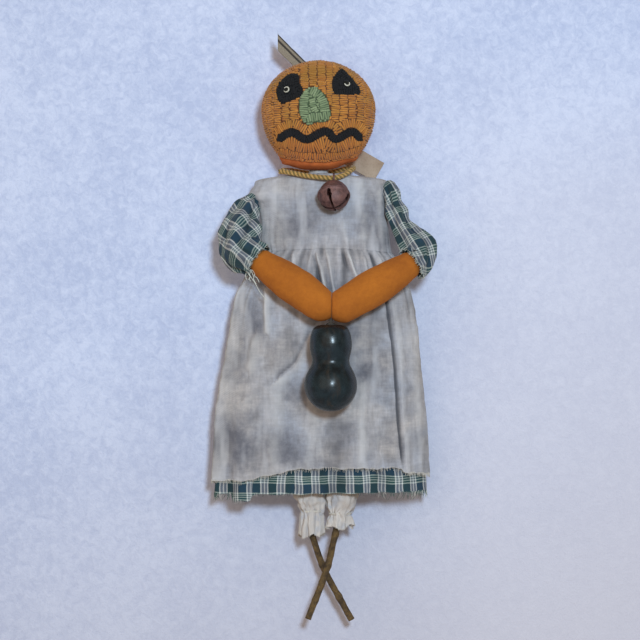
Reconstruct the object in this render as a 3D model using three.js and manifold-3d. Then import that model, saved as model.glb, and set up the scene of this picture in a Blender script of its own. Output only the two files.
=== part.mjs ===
// Pumpkin doll: a stuffed wall doll with a hooked wool head, a cloth dress, felt arms and twig legs.
// Millimetres, +Z up. The doll faces -Y with its back on the wall plane Y = 0, and the origin is
// where a nail behind the neck, under the collar cord, stands out of the wall. Right and left are
// the doll's own: its right side is at -X.
import * as THREE from 'three';
import { mergeVertices } from 'three/addons/utils/BufferGeometryUtils.js';
import Module from 'manifold-3d';

const wasm = await Module();
wasm.setup();

// Fits
const SEAT_GAP = 0.3; // between pieces that are sewn, set or hung against each other
const CLOTH = 1.2; // one layer of dress cloth
const CLOTH_GAP = 0.8; // between one layer of cloth and the next

// Head, measured from its widest level
const HEAD_X = -0.9;
const HEAD_WIDTH = 97;
const HEAD_DEPTH = 58;
const HEAD_CROWN = 43; // widest level up to the crown
const HEAD_CHIN = 50; // widest level down to the chin
const CHIN_FULLNESS = 0.88; // below 1 the lower half is fuller than an ellipsoid
const CHIN_ABOVE_NECKLINE = 3.3;
const HEAD_TO_WALL = 4;
const WOOL = 3; // pile and backing of the face panel and the head back
const SEAM_TILT = 18; // degrees the seam leans forward under the chin
const PATCH_PROUD = 0.8; // how far the hooked patches stand out of the face
const MOUTH_STROKE = 6.5;
const BUTTON_DIAMETER = 6.4;
const BUTTON_HEIGHT = 2.2;
const STEM_WIDTH = 9.7;
const STEM_THICKNESS = 6.5;
const STEM_LENGTH = 25; // outside the head, along its lower face
const STEM_SET = 12; // inside the head
const STEM_LEAN = 45; // degrees from upright, towards the doll's right
const STEM_X = -16.5; // where it leaves the head, from the head's middle

// Face outlines (x, z) from the head's middle, on a head of the width they were drawn for
const FACE_DRAWN_WIDTH = 97;
const RIGHT_EYE = [[-35.5, 16], [-32, 5.5], [-20.5, 8.5], [-12.9, 16], [-16, 28], [-23.1, 30.6],
  [-30.5, 26]];
const LEFT_EYE = [[11.8, 23.8], [14, 12], [24, 12.2], [34.5, 13], [34, 19], [26.5, 29], [19.2, 34.5]];
const NOSE = [[-5.1, 18.6], [-14.2, 11.6], [-16.4, -1.4], [-11.2, -12.7], [-0.7, -11.9], [9.7, -9.2], [8, 6.4],
  [1.8, 15.1]];
const MOUTH = [[-32.8, -24.7], [-22.5, -20], [-10, -26], [5.5, -19.4], [15, -25.6], [28, -19.2],
  [35.2, -24]];
const RIGHT_PUPIL = [-26.2, 15.5];
const LEFT_PUPIL = [23.3, 20.7];

// Neck
const NECK_DIAMETER = 16;
const NECK_BALL = 19; // rounded lower end, set in the torso
const NECK_SET = 12; // how far it reaches into the head
const NECK_BELOW_NECKLINE = 8.5; // from the neckline down to the middle of the rounded end

// Bodice, and the torso inside it
const NECKLINE_Z = 2;
const NECKLINE_WIDTH = 44;
const NECKLINE_DEPTH = 27;
const SHOULDER_TOP_Z = -2.5; // where the shoulders turn down
const SHOULDER_TOP_WIDTH = 100;
const SHOULDER_X = -2;
const SHOULDER_Z = -12;
const SHOULDER_WIDTH = 110;
const SHOULDER_DEPTH = 32;
const CHEST_Z = -20;
const CHEST_WIDTH = 104;
const CHEST_DEPTH = 34;
const WAIST_Z = -62;
const WAIST_WIDTH = 110;
const WAIST_DEPTH = 37;
const BODICE_TO_WALL = 6;
const CHEST_X = 2.5;
const WAIST_X = 6;
const HIP_Z = -100;
const HIP_WIDTH = 94;
const HIP_DEPTH = 31;
const TORSO_END_Z = -134;
const TORSO_END_WIDTH = 72;
const TORSO_END_DEPTH = 24;

// Skirts
const SKIRT_TOP_X = 2.7;
const SKIRT_TOP_WIDTH = 152;
const SKIRT_TOP_Z = -105;
const SKIRT_TOP_FRONT = 46; // from the wall
const SKIRT_TOP_BACK = -2; // behind the wall plane, where the cloth lies flat on the wall
const SKIRT_X = 0.6;
const SKIRT_BACK = -3;
const WAIST_SWELL = 5; // roundness of the skirt under the waist
const SKIRT_MID_WIDTH = 178;
const SKIRT_MID_Z = -190;
const SKIRT_MID_FRONT = 49;
const HEM_WIDTH = 184;
const HEM_FRONT = 51;
const APRON_HEM_Z = -252;
const HEM_DROP = 5; // the apron hem hangs lower at the sides than in the middle
const PLAID_HEM_Z = -269.5;
const FOLDS = 11;
const FOLD_DEPTH = 2.6; // at the hem

// Arms
const RIGHT_ARMHOLE_Z = -24;
const LEFT_ARMHOLE_Z = -14;
const SLEEVE_TOP_RADIUS = 10;
const UPPER_ARM_DIAMETER = 14;
const CUFF_DIAMETER = 23.5; // forearm at the cuff
const FOREARM_DIAMETER = 31;
const HAND_DIAMETER = 28;
const HANDS_MEET_X = 10.2;
const HAND_OVERLAP = 9; // from where the flattened hands meet to the middle of each hand
const ELBOW_OPENS = 32; // degrees of swing that the cuff leaves free
const CUFF_BEHIND_HANDS = 14; // the cuffs lie nearer to the wall than the hands
const HANDS_BEHIND_GOURD = 4;
const RIGHT_CUFF = [-46.5, -75.5]; // (x, z) of the middle of each cuff and the height of each hand
const LEFT_CUFF = [73.5, -77.8];
const RIGHT_HAND_Z = -109.6;
const LEFT_HAND_Z = -111;
// Puffed part of each sleeve: x, y, z, half-width and half-depth
const RIGHT_PUFF = [
  [-65, -30, -33, 14.5, 12],
  [-66.5, -37, -45, 18, 14],
  [-66.5, -43, -56, 19, 15],
  [-62.5, -49, -65.5, 17.5, 16],
];
const LEFT_PUFF = [
  [65.5, -27, -26, 9.5, 10],
  [69, -32, -39, 10.5, 11],
  [77, -38, -51, 13.5, 13],
  [83.5, -43, -61.5, 16, 15],
  [83, -46, -71, 14, 14],
];

// Gourd
const GOURD_X = 9.4;
const GOURD_TOP_LOBE = 35;
const GOURD_LOW_LOBE = 44;
const GOURD_WAIST = 31;
const GOURD_LOBE_PITCH = 32.7; // between the middles of the two lobes
const GOURD_WALL = 2.5;
const GOURD_MOUTH = 9;
const GOURD_STEM_RISE = 4.6; // stem above the gourd
const GOURD_STEM_TIP = 2.6;
const UPPER_LOBE_ENDS = -22; // degrees below level where the upper lobe meets the waist
const LOWER_LOBE_STARTS = 42;

// Bell
const BELL_X = 12.1;
const BELL_DIAMETER = 26;
const BELL_RIM = 27.5;
const BELL_RIM_HEIGHT = 1.6;
const BELL_WALL = 0.9;
const BELL_SLOT = 1.9;
const BELL_SLOT_END = 4; // round hole at the end of each slot
const BELL_SLOT_SHARE = 0.86; // of the bell's radius, where each slot ends
const BELL_TURN = 20; // degrees the slots are turned
const SHANK_RADIUS = 4;
const SHANK_WIRE = 1.6;
const PELLET_DIAMETER = 6;

// Collar and tag
const COLLAR_DIAMETER = 4.6;
const COLLAR = [
  [-34, -31, 4.2], [-24, -38, 2.6], [-10, -42.5, -0.4], [4, -44.4, -1.9], [BELL_X, -44.4, -2.1], [20, -40, 0.2],
  [26.5, -33, 4.8], [29, -22, 7.6], [26, -8.8, 8.6], [13, -7.2, 5.6], [0, -7.7, 3.9], [-12, -8, 4.4],
  [-25, -13, 6], [-32, -22, 5.6],
];
const TAG_WIDTH = 18.2;
const TAG_LENGTH = 34;
const TAG_PAPER = 0.6;
const TAG_CLIP = 5; // clipped corners at the hidden end
const TAG_HOLE = 2.4;
const TAG_DROOP = 30; // degrees below level
const TAG_START = [21.9, -4.9, 22.1]; // hidden end

// Legs
const LEG_TO_WALL = 26;
const LEG_DEPTH = 0.86; // depth of a leg against its width
const RUFFLE_DEPTH = 0.9;
const RUFFLES = 5;
const TWIG_DIAMETER = 5.7;
const TIE_THREAD = 1.6;
const TWIG_TOP_Z = -236;
const RIGHT_TWIG_END_Z = -378.9;
const LEFT_TWIG_END_Z = -377.1;
// Each twig: x, how far behind the leg's middle, and the share of its height from top to end
const RIGHT_TWIG = [[-10, 0, 0], [-9.6, 0, 0.238], [-7.8, 0.5, 0.434], [-5, 1.5, 0.518], [4.9, 4, 0.71],
  [27.5, 4, 1]];
const LEFT_TWIG = [[18.6, 0, 0], [18.3, 0, 0.241], [15, -0.5, 0.432], [11.8, -2, 0.539], [5.9, -4, 0.707],
  [-9.8, -4, 1]];
// Each leg from the hip down: x, z and radius; the hip's height comes from the torso
const RIGHT_HIP = { x: -8, r: 11.8 };
const RIGHT_LEG = [{ x: -9.6, z: -180, r: 12 }, { x: -9.4, z: -268, r: 12.2 }, { x: -8, z: -279, r: 11 }];
const RIGHT_ANKLE = { x: -6.8, z: -285.5, r: 8.2 };
const RIGHT_RUFFLE = [{ x: -6.9, z: -291, r: 9.4, ruffle: 0.6 }, { x: -7.2, z: -306, r: 10.6, ruffle: 1.1 }];
const LEFT_HIP = { x: 18.6, r: 13.8 };
const LEFT_LEG = [{ x: 20.2, z: -180, r: 14 }, { x: 19.8, z: -266, r: 14.6 }, { x: 18.8, z: -280, r: 12.4 }];
const LEFT_ANKLE = { x: 17.6, z: -287.5, r: 8.8 };
const LEFT_RUFFLE = [{ x: 17.4, z: -291.5, r: 10.4, ruffle: 0.7 }, { x: 17, z: -298, r: 11.4, ruffle: 1.1 }];

// Facets round the larger forms
const BODICE_POINTS = 28;
const SKIRT_POINTS = 44;
const NECK_SIDES = 14;
const LIMB_SIDES = 18;
const SLEEVE_SIDES = 16;
const LEG_SIDES = 16;
const OUTLINE_POINTS = 20;

const UP = new THREE.Vector3(0, 0, 1);
const BACK = new THREE.Vector3(0, 1, 0);
const at = (x, y, z) => new THREE.Vector3(x, y, z);
const radians = THREE.MathUtils.degToRad;

// Turns a closed geometry's faces outwards and drops everything but its shape.
function faceOut(geometry) {
  const bare = geometry.clone();
  bare.deleteAttribute('normal');
  bare.deleteAttribute('uv');
  const merged = mergeVertices(bare, 1e-3);
  const index = merged.index.array;
  const corners = [at(0, 0, 0), at(0, 0, 0), at(0, 0, 0)];
  const kept = [];
  let volume = 0;
  for (let i = 0; i < index.length; i += 3) {
    const [a, b, c] = [index[i], index[i + 1], index[i + 2]];
    if (a === b || b === c || c === a) continue;
    [a, b, c].forEach((vertex, k) => corners[k].fromBufferAttribute(merged.attributes.position, vertex));
    volume += corners[0].dot(corners[1].cross(corners[2]));
    kept.push(a, b, c);
  }
  if (volume < 0) kept.reverse();
  merged.setIndex(kept);
  return merged;
}

const solid = (geometry) => {
  const closed = faceOut(geometry);
  return new wasm.Manifold(new wasm.Mesh({
    numProp: 3,
    vertProperties: Float32Array.from(closed.attributes.position.array),
    triVerts: Uint32Array.from(closed.index.array),
  }));
};

function shape(manifold) {
  const mesh = manifold.getMesh();
  const geometry = new THREE.BufferGeometry();
  geometry.setAttribute('position', new THREE.BufferAttribute(mesh.vertProperties, 3));
  geometry.setIndex(new THREE.BufferAttribute(mesh.triVerts, 1));
  return geometry;
}

// A ring of points round a centre, square to an axis, with a half-width and a half-depth.
function ring(centre, axis, side, depth, count, fold = () => 0) {
  const u = new THREE.Vector3().crossVectors(axis, BACK).normalize();
  const v = new THREE.Vector3().crossVectors(u, axis).normalize();
  return Array.from({ length: count }, (_, i) => {
    const angle = (2 * Math.PI * i) / count;
    const swell = fold(angle);
    return centre.clone()
      .addScaledVector(u, (side + swell) * Math.cos(angle))
      .addScaledVector(v, (depth + swell) * Math.sin(angle));
  });
}

// Skins a list of rings. A closed list runs back to its first ring, and an open one is capped.
function loft(rings, closed = false) {
  const count = rings[0].length;
  const points = rings.flat();
  const faces = [];
  const spans = closed ? rings.length : rings.length - 1;
  for (let r = 0; r < spans; r += 1) {
    const next = (r + 1) % rings.length;
    for (let i = 0; i < count; i += 1) {
      const j = (i + 1) % count;
      faces.push(r * count + i, next * count + i, r * count + j);
      faces.push(r * count + j, next * count + i, next * count + j);
    }
  }
  if (!closed) {
    [0, rings.length - 1].forEach((r) => {
      const middle = rings[r].reduce((sum, p) => sum.add(p), at(0, 0, 0)).divideScalar(count);
      points.push(middle);
      for (let i = 0; i < count; i += 1) {
        const edge = [r * count + i, r * count + ((i + 1) % count)];
        if (r > 0) edge.reverse();
        faces.push(edge[0], edge[1], points.length - 1);
      }
    });
  }
  const geometry = new THREE.BufferGeometry().setFromPoints(points);
  geometry.setIndex(faces);
  return faceOut(geometry);
}

// A revolved form along +Z from (radius, height) pairs.
function revolve(profile, segments) {
  const lathe = new THREE.LatheGeometry(profile.map(([r, z]) => new THREE.Vector2(r, z)), segments);
  lathe.rotateX(Math.PI / 2);
  return faceOut(lathe);
}

// Points of a quarter or half circle as (radius, height) pairs, from one angle to another in degrees.
function arc(radius, from, to, steps, height = 0, squash = 1) {
  return Array.from({ length: steps + 1 }, (_, i) => {
    const angle = radians(from + ((to - from) * i) / steps);
    return [Math.max(0, radius * Math.cos(angle)), height + radius * squash * Math.sin(angle)];
  });
}

// Moves a form made along +Z to a place and a direction.
function put(geometry, from, direction) {
  geometry.applyQuaternion(new THREE.Quaternion().setFromUnitVectors(UP, direction));
  return geometry.translate(from.x, from.y, from.z);
}

// The hollow that a rounded end turns in, with facets that follow those of the end.
function seat(diameter, from, direction, segments) {
  return put(revolve(arc(diameter / 2 + SEAT_GAP, -90, 90, 10), segments), from, direction);
}

// A round tube along a smooth curve through points.
function tube(points, diameter, steps, sides = 8) {
  const path = new THREE.CatmullRomCurve3(points);
  const section = new THREE.Shape(Array.from({ length: sides }, (_, i) => {
    const angle = (2 * Math.PI * i) / sides;
    return new THREE.Vector2(Math.cos(angle), Math.sin(angle)).multiplyScalar(diameter / 2);
  }));
  return faceOut(new THREE.ExtrudeGeometry(section, { steps, extrudePath: path, bevelEnabled: false }));
}

// A soft sack with rounded ends through stations { at, r, deep }, its skin moved in by an inset.
function sack(stations, inset, count) {
  const axes = stations.map((s, i) => {
    const before = stations[Math.max(0, i - 1)].at;
    const after = stations[Math.min(stations.length - 1, i + 1)].at;
    return after.clone().sub(before).normalize();
  });
  const section = (i, along, share) => {
    const { at: centre, r, deep } = stations[i];
    const place = centre.clone().addScaledVector(axes[i], along * (r - inset));
    return ring(place, axes[i], (r - inset) * share, (deep - inset) * share, count);
  };
  const last = stations.length - 1;
  const dome = [65, 30].map(radians);
  return loft([
    ...dome.map((a) => section(0, -Math.sin(a), Math.cos(a))),
    ...stations.map((_, i) => section(i, 0, 1)),
    ...dome.reverse().map((a) => section(last, Math.sin(a), Math.cos(a))),
  ]);
}

const finish = (color, roughness, metalness = 0) => (
  new THREE.MeshStandardMaterial({ color, roughness, metalness })
);
const ORANGE_WOOL = finish(0xbe7828, 0.95);
const PLAIN_WOOL = finish(0xb9651f, 0.95);
const BLACK_WOOL = finish(0x1b1a20, 0.95);
const GREEN_WOOL = finish(0x6f9166, 0.95);
const BUTTON = finish(0x14100c, 0.25);
const STUFFING = finish(0xd9d2c2, 1);
const SPLIT_WOOD = finish(0x968773, 0.8);
const MUSLIN = finish(0xc8c3be, 0.95);
const PLAID = finish(0x1d4b46, 0.95);
const FELT = finish(0xc8731e, 0.95);
const PANTALOON = finish(0xd7cdbe, 0.95);
const TWIG_BARK = finish(0x5f4a2e, 0.85);
const RUST = finish(0x785555, 0.7, 0.5);
const GOURD_VARNISH = finish(0x232f2b, 0.25);
const GOLD_CORD = finish(0xa8842f, 0.9);
const PAPER = finish(0xa8927c, 0.9);
const TWINE = finish(0xb59a6c, 0.95);

const doll = new THREE.Group();
function add(name, geometry, material, parent = doll) {
  const mesh = new THREE.Mesh(geometry, material);
  mesh.name = name;
  parent.add(mesh);
  return mesh;
}

// Dress: levels of the outer cloth, from the neckline down. Each layer inside is moved in and down.
const level = (z, x, width, back, front) => ({ z, x, width, back, front });
const LAYER = CLOTH + CLOTH_GAP;
const bodiceFront = (depth) => BODICE_TO_WALL + depth;
const chest = level(CHEST_Z, CHEST_X, CHEST_WIDTH, BODICE_TO_WALL, bodiceFront(CHEST_DEPTH));
const waist = level(WAIST_Z, WAIST_X, WAIST_WIDTH, BODICE_TO_WALL, bodiceFront(WAIST_DEPTH));
const shoulder = level(
  SHOULDER_Z,
  SHOULDER_X,
  SHOULDER_WIDTH,
  BODICE_TO_WALL + 1,
  BODICE_TO_WALL + 1 + SHOULDER_DEPTH,
);
const neckBack = BODICE_TO_WALL + (CHEST_DEPTH - NECKLINE_DEPTH) / 2;
const neckline = level(NECKLINE_Z, HEAD_X, NECKLINE_WIDTH, neckBack, neckBack + NECKLINE_DEPTH);

function between(upper, lower, share, bulge = 0) {
  const mix = (key) => THREE.MathUtils.lerp(upper[key], lower[key], share);
  return level(mix('z'), mix('x'), mix('width') + bulge, mix('back'), mix('front'));
}
function onto(base, z) {
  return { ...base, z };
}
const bodice = [
  neckline,
  { ...between(neckline, shoulder, 0.5), x: SHOULDER_X, z: SHOULDER_TOP_Z, width: SHOULDER_TOP_WIDTH },
  shoulder,
  between(shoulder, chest, 0.6),
  chest,
  waist,
];
// The bodice's level at a height.
function bodiceAt(z) {
  const lower = bodice.findIndex((row) => row.z < z);
  const [above, below] = [bodice[lower - 1], bodice[lower]];
  return between(above, below, (above.z - z) / (above.z - below.z));
}

function dressRing({ z, x, width, back, front }, inset, count, fold) {
  const centre = at(x, -(back + front) / 2, z);
  const points = ring(centre, at(0, 0, -1), width / 2 - inset, (front - back) / 2 - inset, count, fold);
  points.forEach((p) => { p.y = Math.min(p.y, -inset); });
  return points;
}
// Bodice rings, lowered with each layer so that the shoulders nest too; the waist keeps its height.
const bodiceRings = (inset) => bodice.map((row) => (
  dressRing(onto(row, row === waist ? WAIST_Z : row.z - inset), inset, BODICE_POINTS)
));
const bodiceShell = (inset) => loft([...bodiceRings(inset), ...bodiceRings(inset + CLOTH).reverse()], true);

add('apron_bodice', bodiceShell(0), MUSLIN);
add('plaid_bodice', bodiceShell(LAYER), PLAID);

// Skirts: gathered at the waist, with folds that deepen down to the hem and a back flat on the wall.
const skirtTop = level(SKIRT_TOP_Z, SKIRT_TOP_X, SKIRT_TOP_WIDTH, SKIRT_TOP_BACK, SKIRT_TOP_FRONT);
const skirtMid = level(SKIRT_MID_Z, SKIRT_X, SKIRT_MID_WIDTH, SKIRT_BACK, SKIRT_MID_FRONT);
const hem = level(APRON_HEM_Z, SKIRT_X, HEM_WIDTH, SKIRT_BACK, HEM_FRONT);
const foldShape = (angle) => (
  0.65 * Math.cos(FOLDS * angle + 0.6) + 0.35 * Math.cos((FOLDS + 4) * angle - 1.1)
);
function skirtRings(inset, hemZ, drop) {
  const start = onto(waist, WAIST_Z - SEAT_GAP);
  const rows = [
    start,
    between(start, skirtTop, 0.2, WAIST_SWELL),
    between(start, skirtTop, 0.55, WAIST_SWELL),
    skirtTop,
    between(skirtTop, skirtMid, 0.5),
    skirtMid,
    onto(hem, hemZ),
  ];
  return rows.map((row, i) => {
    const share = (WAIST_Z - row.z) / (WAIST_Z - APRON_HEM_Z);
    const depth = FOLD_DEPTH * Math.min(share, 1);
    const points = dressRing(row, inset, SKIRT_POINTS, (angle) => depth * foldShape(angle));
    if (i === rows.length - 1) {
      points.forEach((p) => { p.z -= drop * Math.abs((2 * (p.x - row.x)) / row.width); });
    }
    return points;
  });
}
const skirtShell = (inset, hemZ, drop) => loft(
  [...skirtRings(inset, hemZ, drop), ...skirtRings(inset + CLOTH, hemZ, drop).reverse()],
  true,
);
add('apron_skirt', skirtShell(0, APRON_HEM_Z, HEM_DROP), MUSLIN);
add('plaid_skirt', skirtShell(LAYER, PLAID_HEM_Z, 0), PLAID);

// Torso: fills the bodice, swells at the hip and ends flat above the legs.
const neckMiddle = at(HEAD_X, -(neckBack + NECKLINE_DEPTH / 2), NECKLINE_Z - NECK_BELOW_NECKLINE);
const hip = level(HIP_Z, CHEST_X, HIP_WIDTH, BODICE_TO_WALL, BODICE_TO_WALL + HIP_DEPTH);
const torsoBack = LEG_TO_WALL - TORSO_END_DEPTH / 2;
const torsoEnd = level(TORSO_END_Z, CHEST_X, TORSO_END_WIDTH, torsoBack, torsoBack + TORSO_END_DEPTH);
const torsoForm = loft([
  ...bodiceRings(2 * LAYER),
  dressRing(hip, 0, BODICE_POINTS),
  dressRing(between(hip, torsoEnd, 0.75, 9), 0, BODICE_POINTS),
  dressRing(torsoEnd, 0, BODICE_POINTS),
]);
const neckSeat = solid(seat(NECK_BALL, neckMiddle, UP, NECK_SIDES));
add('torso', shape(solid(torsoForm).subtract(neckSeat)), STUFFING);

// Neck: rounded at its lower end, where it tilts in the torso, and a round post that the head turns on.
const headMiddle = at(
  HEAD_X,
  -(HEAD_TO_WALL + HEAD_DEPTH / 2),
  NECKLINE_Z + CHIN_ABOVE_NECKLINE + HEAD_CHIN,
);
const chinZ = headMiddle.z - HEAD_CHIN;
const neckTop = chinZ + NECK_SET - neckMiddle.z;
const postFoot = Math.asin(NECK_DIAMETER / NECK_BALL);
const neckProfile = [
  ...arc(NECK_BALL / 2, -90, 90 - THREE.MathUtils.radToDeg(postFoot), 6),
  [NECK_DIAMETER / 2, neckTop],
  [0, neckTop],
];
add('neck', put(revolve(neckProfile, NECK_SIDES), neckMiddle, UP), STUFFING);

// Head: a hooked front and a plain back, sewn along a leaning seam, over the stuffing.
const head = new THREE.Group();
head.position.copy(headMiddle);
doll.add(head);
function headForm(offset) {
  const form = new THREE.SphereGeometry(1, 24, 12);
  form.rotateX(Math.PI / 2);
  const place = form.attributes.position;
  for (let i = 0; i < place.count; i += 1) {
    const [x, y, z] = [place.getX(i), place.getY(i), place.getZ(i)];
    const girth = Math.hypot(x, y);
    const full = z < 0 && girth > 1e-6 ? girth ** (CHIN_FULLNESS - 1) : 1;
    const height = (z > 0 ? HEAD_CROWN : HEAD_CHIN) + offset;
    place.setXYZ(i, x * full * (HEAD_WIDTH / 2 + offset), y * full * (HEAD_DEPTH / 2 + offset), z * height);
  }
  return form;
}
const REACH = 2 * HEAD_WIDTH; // larger than the head, for the tools that cut it
function halfSpace(side) {
  const block = new THREE.BoxGeometry(REACH, REACH, REACH);
  block.translate(0, side * (REACH + SEAT_GAP) / 2, 0);
  return solid(block.rotateX(-radians(SEAM_TILT)));
}
const neckHole = revolve(
  [[0, -REACH], [NECK_DIAMETER / 2 + SEAT_GAP, -REACH],
    [NECK_DIAMETER / 2 + SEAT_GAP, NECK_SET - HEAD_CHIN + SEAT_GAP], [0, NECK_SET - HEAD_CHIN + SEAT_GAP]],
  20,
).translate(neckMiddle.x - headMiddle.x, neckMiddle.y - headMiddle.y, 0);

// Stem: a split stick with one rounded side, cut upright at its end.
const stemFootZ = HEAD_CROWN * Math.sqrt(1 - (STEM_X / (HEAD_WIDTH / 2)) ** 2);
function stemStick(grown) {
  const section = new THREE.Shape();
  const half = STEM_WIDTH / 2 + grown;
  const thick = STEM_THICKNESS / 2 + grown;
  section.moveTo(-half, -thick);
  section.lineTo(half, -thick);
  section.lineTo(half, thick * 0.3);
  section.quadraticCurveTo(half * 0.2, thick * 1.5, -half, thick * 0.7);
  section.closePath();
  const long = STEM_SET + STEM_LENGTH + STEM_WIDTH;
  const cut = { depth: long + grown, bevelEnabled: false, curveSegments: 6 };
  const stick = new THREE.ExtrudeGeometry(section, cut);
  stick.translate(0, 0, -STEM_SET - grown);
  return stick.rotateY(-radians(STEM_LEAN)).translate(STEM_X, 0, stemFootZ);
}
const stemTipX = STEM_X - STEM_LENGTH * Math.sin(radians(STEM_LEAN));
const stemTrim = new THREE.BoxGeometry(REACH, REACH, REACH).translate(stemTipX - REACH / 2, 0, stemFootZ);
add('stem', shape(solid(stemStick(0)).subtract(solid(stemTrim))), SPLIT_WOOD, head);

// Face patches: hooked areas set into windows of the face panel.
const onFace = ([x, z]) => at((x * HEAD_WIDTH) / FACE_DRAWN_WIDTH, z, 0);
function smoothOutline(points, count) {
  const curve = new THREE.CatmullRomCurve3(points.map(onFace), true);
  const outline = curve.getPoints(count).slice(0, count).map((p) => new THREE.Vector2(p.x, p.y));
  return THREE.ShapeUtils.isClockWise(outline) ? outline.reverse() : outline;
}
function strokeOutline(points, stroke, count) {
  const curve = new THREE.CatmullRomCurve3(points.map(onFace));
  const side = (i, turn) => {
    const out = curve.getTangent(i / count).multiplyScalar((turn * stroke) / 2);
    const middle = curve.getPoint(i / count);
    return new THREE.Vector2(middle.x - out.y, middle.y + out.x);
  };
  const lower = Array.from({ length: count + 1 }, (_, i) => side(i, -1));
  const upper = Array.from({ length: count + 1 }, (_, i) => side(count - i, 1));
  const tip = (share, way) => {
    const along = curve.getTangent(share).multiplyScalar(way * stroke / 2);
    const middle = curve.getPoint(share);
    return new THREE.Vector2(middle.x + along.x, middle.y + along.y);
  };
  return [...lower, tip(1, 1), ...upper, tip(0, -1)];
}
function inset(outline, distance) {
  return outline.map((p, i) => {
    const along = outline[(i + 1) % outline.length].clone().sub(outline.at(i - 1)).normalize();
    return new THREE.Vector2(p.x - along.y * distance, p.y + along.x * distance);
  });
}
function prism(outline) {
  const deep = { depth: HEAD_DEPTH, bevelEnabled: false };
  const block = new THREE.ExtrudeGeometry(new THREE.Shape(outline), deep);
  return solid(block.rotateX(Math.PI / 2));
}
const skin = solid(headForm(0)).subtract(solid(headForm(-WOOL)));
const proudSkin = solid(headForm(PATCH_PROUD)).subtract(solid(headForm(-WOOL)));
const stemHole = solid(stemStick(SEAT_GAP));
const front = halfSpace(-1);
let face = skin.intersect(front).subtract(stemHole);
[
  ['right_eye_patch', smoothOutline(RIGHT_EYE, OUTLINE_POINTS), BLACK_WOOL],
  ['left_eye_patch', smoothOutline(LEFT_EYE, OUTLINE_POINTS), BLACK_WOOL],
  ['nose_patch', smoothOutline(NOSE, OUTLINE_POINTS), GREEN_WOOL],
  ['mouth_patch', strokeOutline(MOUTH, MOUTH_STROKE, OUTLINE_POINTS), BLACK_WOOL],
].forEach(([name, outline, material]) => {
  face = face.subtract(prism(outline));
  add(name, shape(prism(inset(outline, SEAT_GAP)).intersect(proudSkin).intersect(front)), material, head);
});
add('face_panel', shape(face), ORANGE_WOOL, head);
const rear = skin.intersect(halfSpace(1)).subtract(solid(neckHole)).subtract(stemHole);
add('head_back', shape(rear), PLAIN_WOOL, head);
const stuffing = solid(headForm(-WOOL - SEAT_GAP));
add('head_stuffing', shape(stuffing.subtract(solid(neckHole)).subtract(stemHole)), STUFFING, head);

// Eye buttons: domed, each cut to sit on its patch.
const buttonBed = solid(headForm(PATCH_PROUD + SEAT_GAP));
[['right_eye_button', RIGHT_PUPIL], ['left_eye_button', LEFT_PUPIL]].forEach(([name, pupil]) => {
  const { x, y: z } = onFace(pupil);
  const spot = Math.sqrt(1 - (x / (HEAD_WIDTH / 2)) ** 2 - (z / HEAD_CROWN) ** 2);
  const faceY = -(HEAD_DEPTH / 2) * spot;
  const button = revolve(
    [[0, -WOOL], [BUTTON_DIAMETER / 2, -WOOL], ...arc(BUTTON_DIAMETER / 2, 0, 90, 4, 0, 0.5)],
    16,
  ).rotateX(Math.PI / 2);
  button.translate(x, faceY - PATCH_PROUD - BUTTON_HEIGHT + BUTTON_DIAMETER / 4, z);
  add(name, shape(solid(button).subtract(buttonBed)), BUTTON, head);
});

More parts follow.
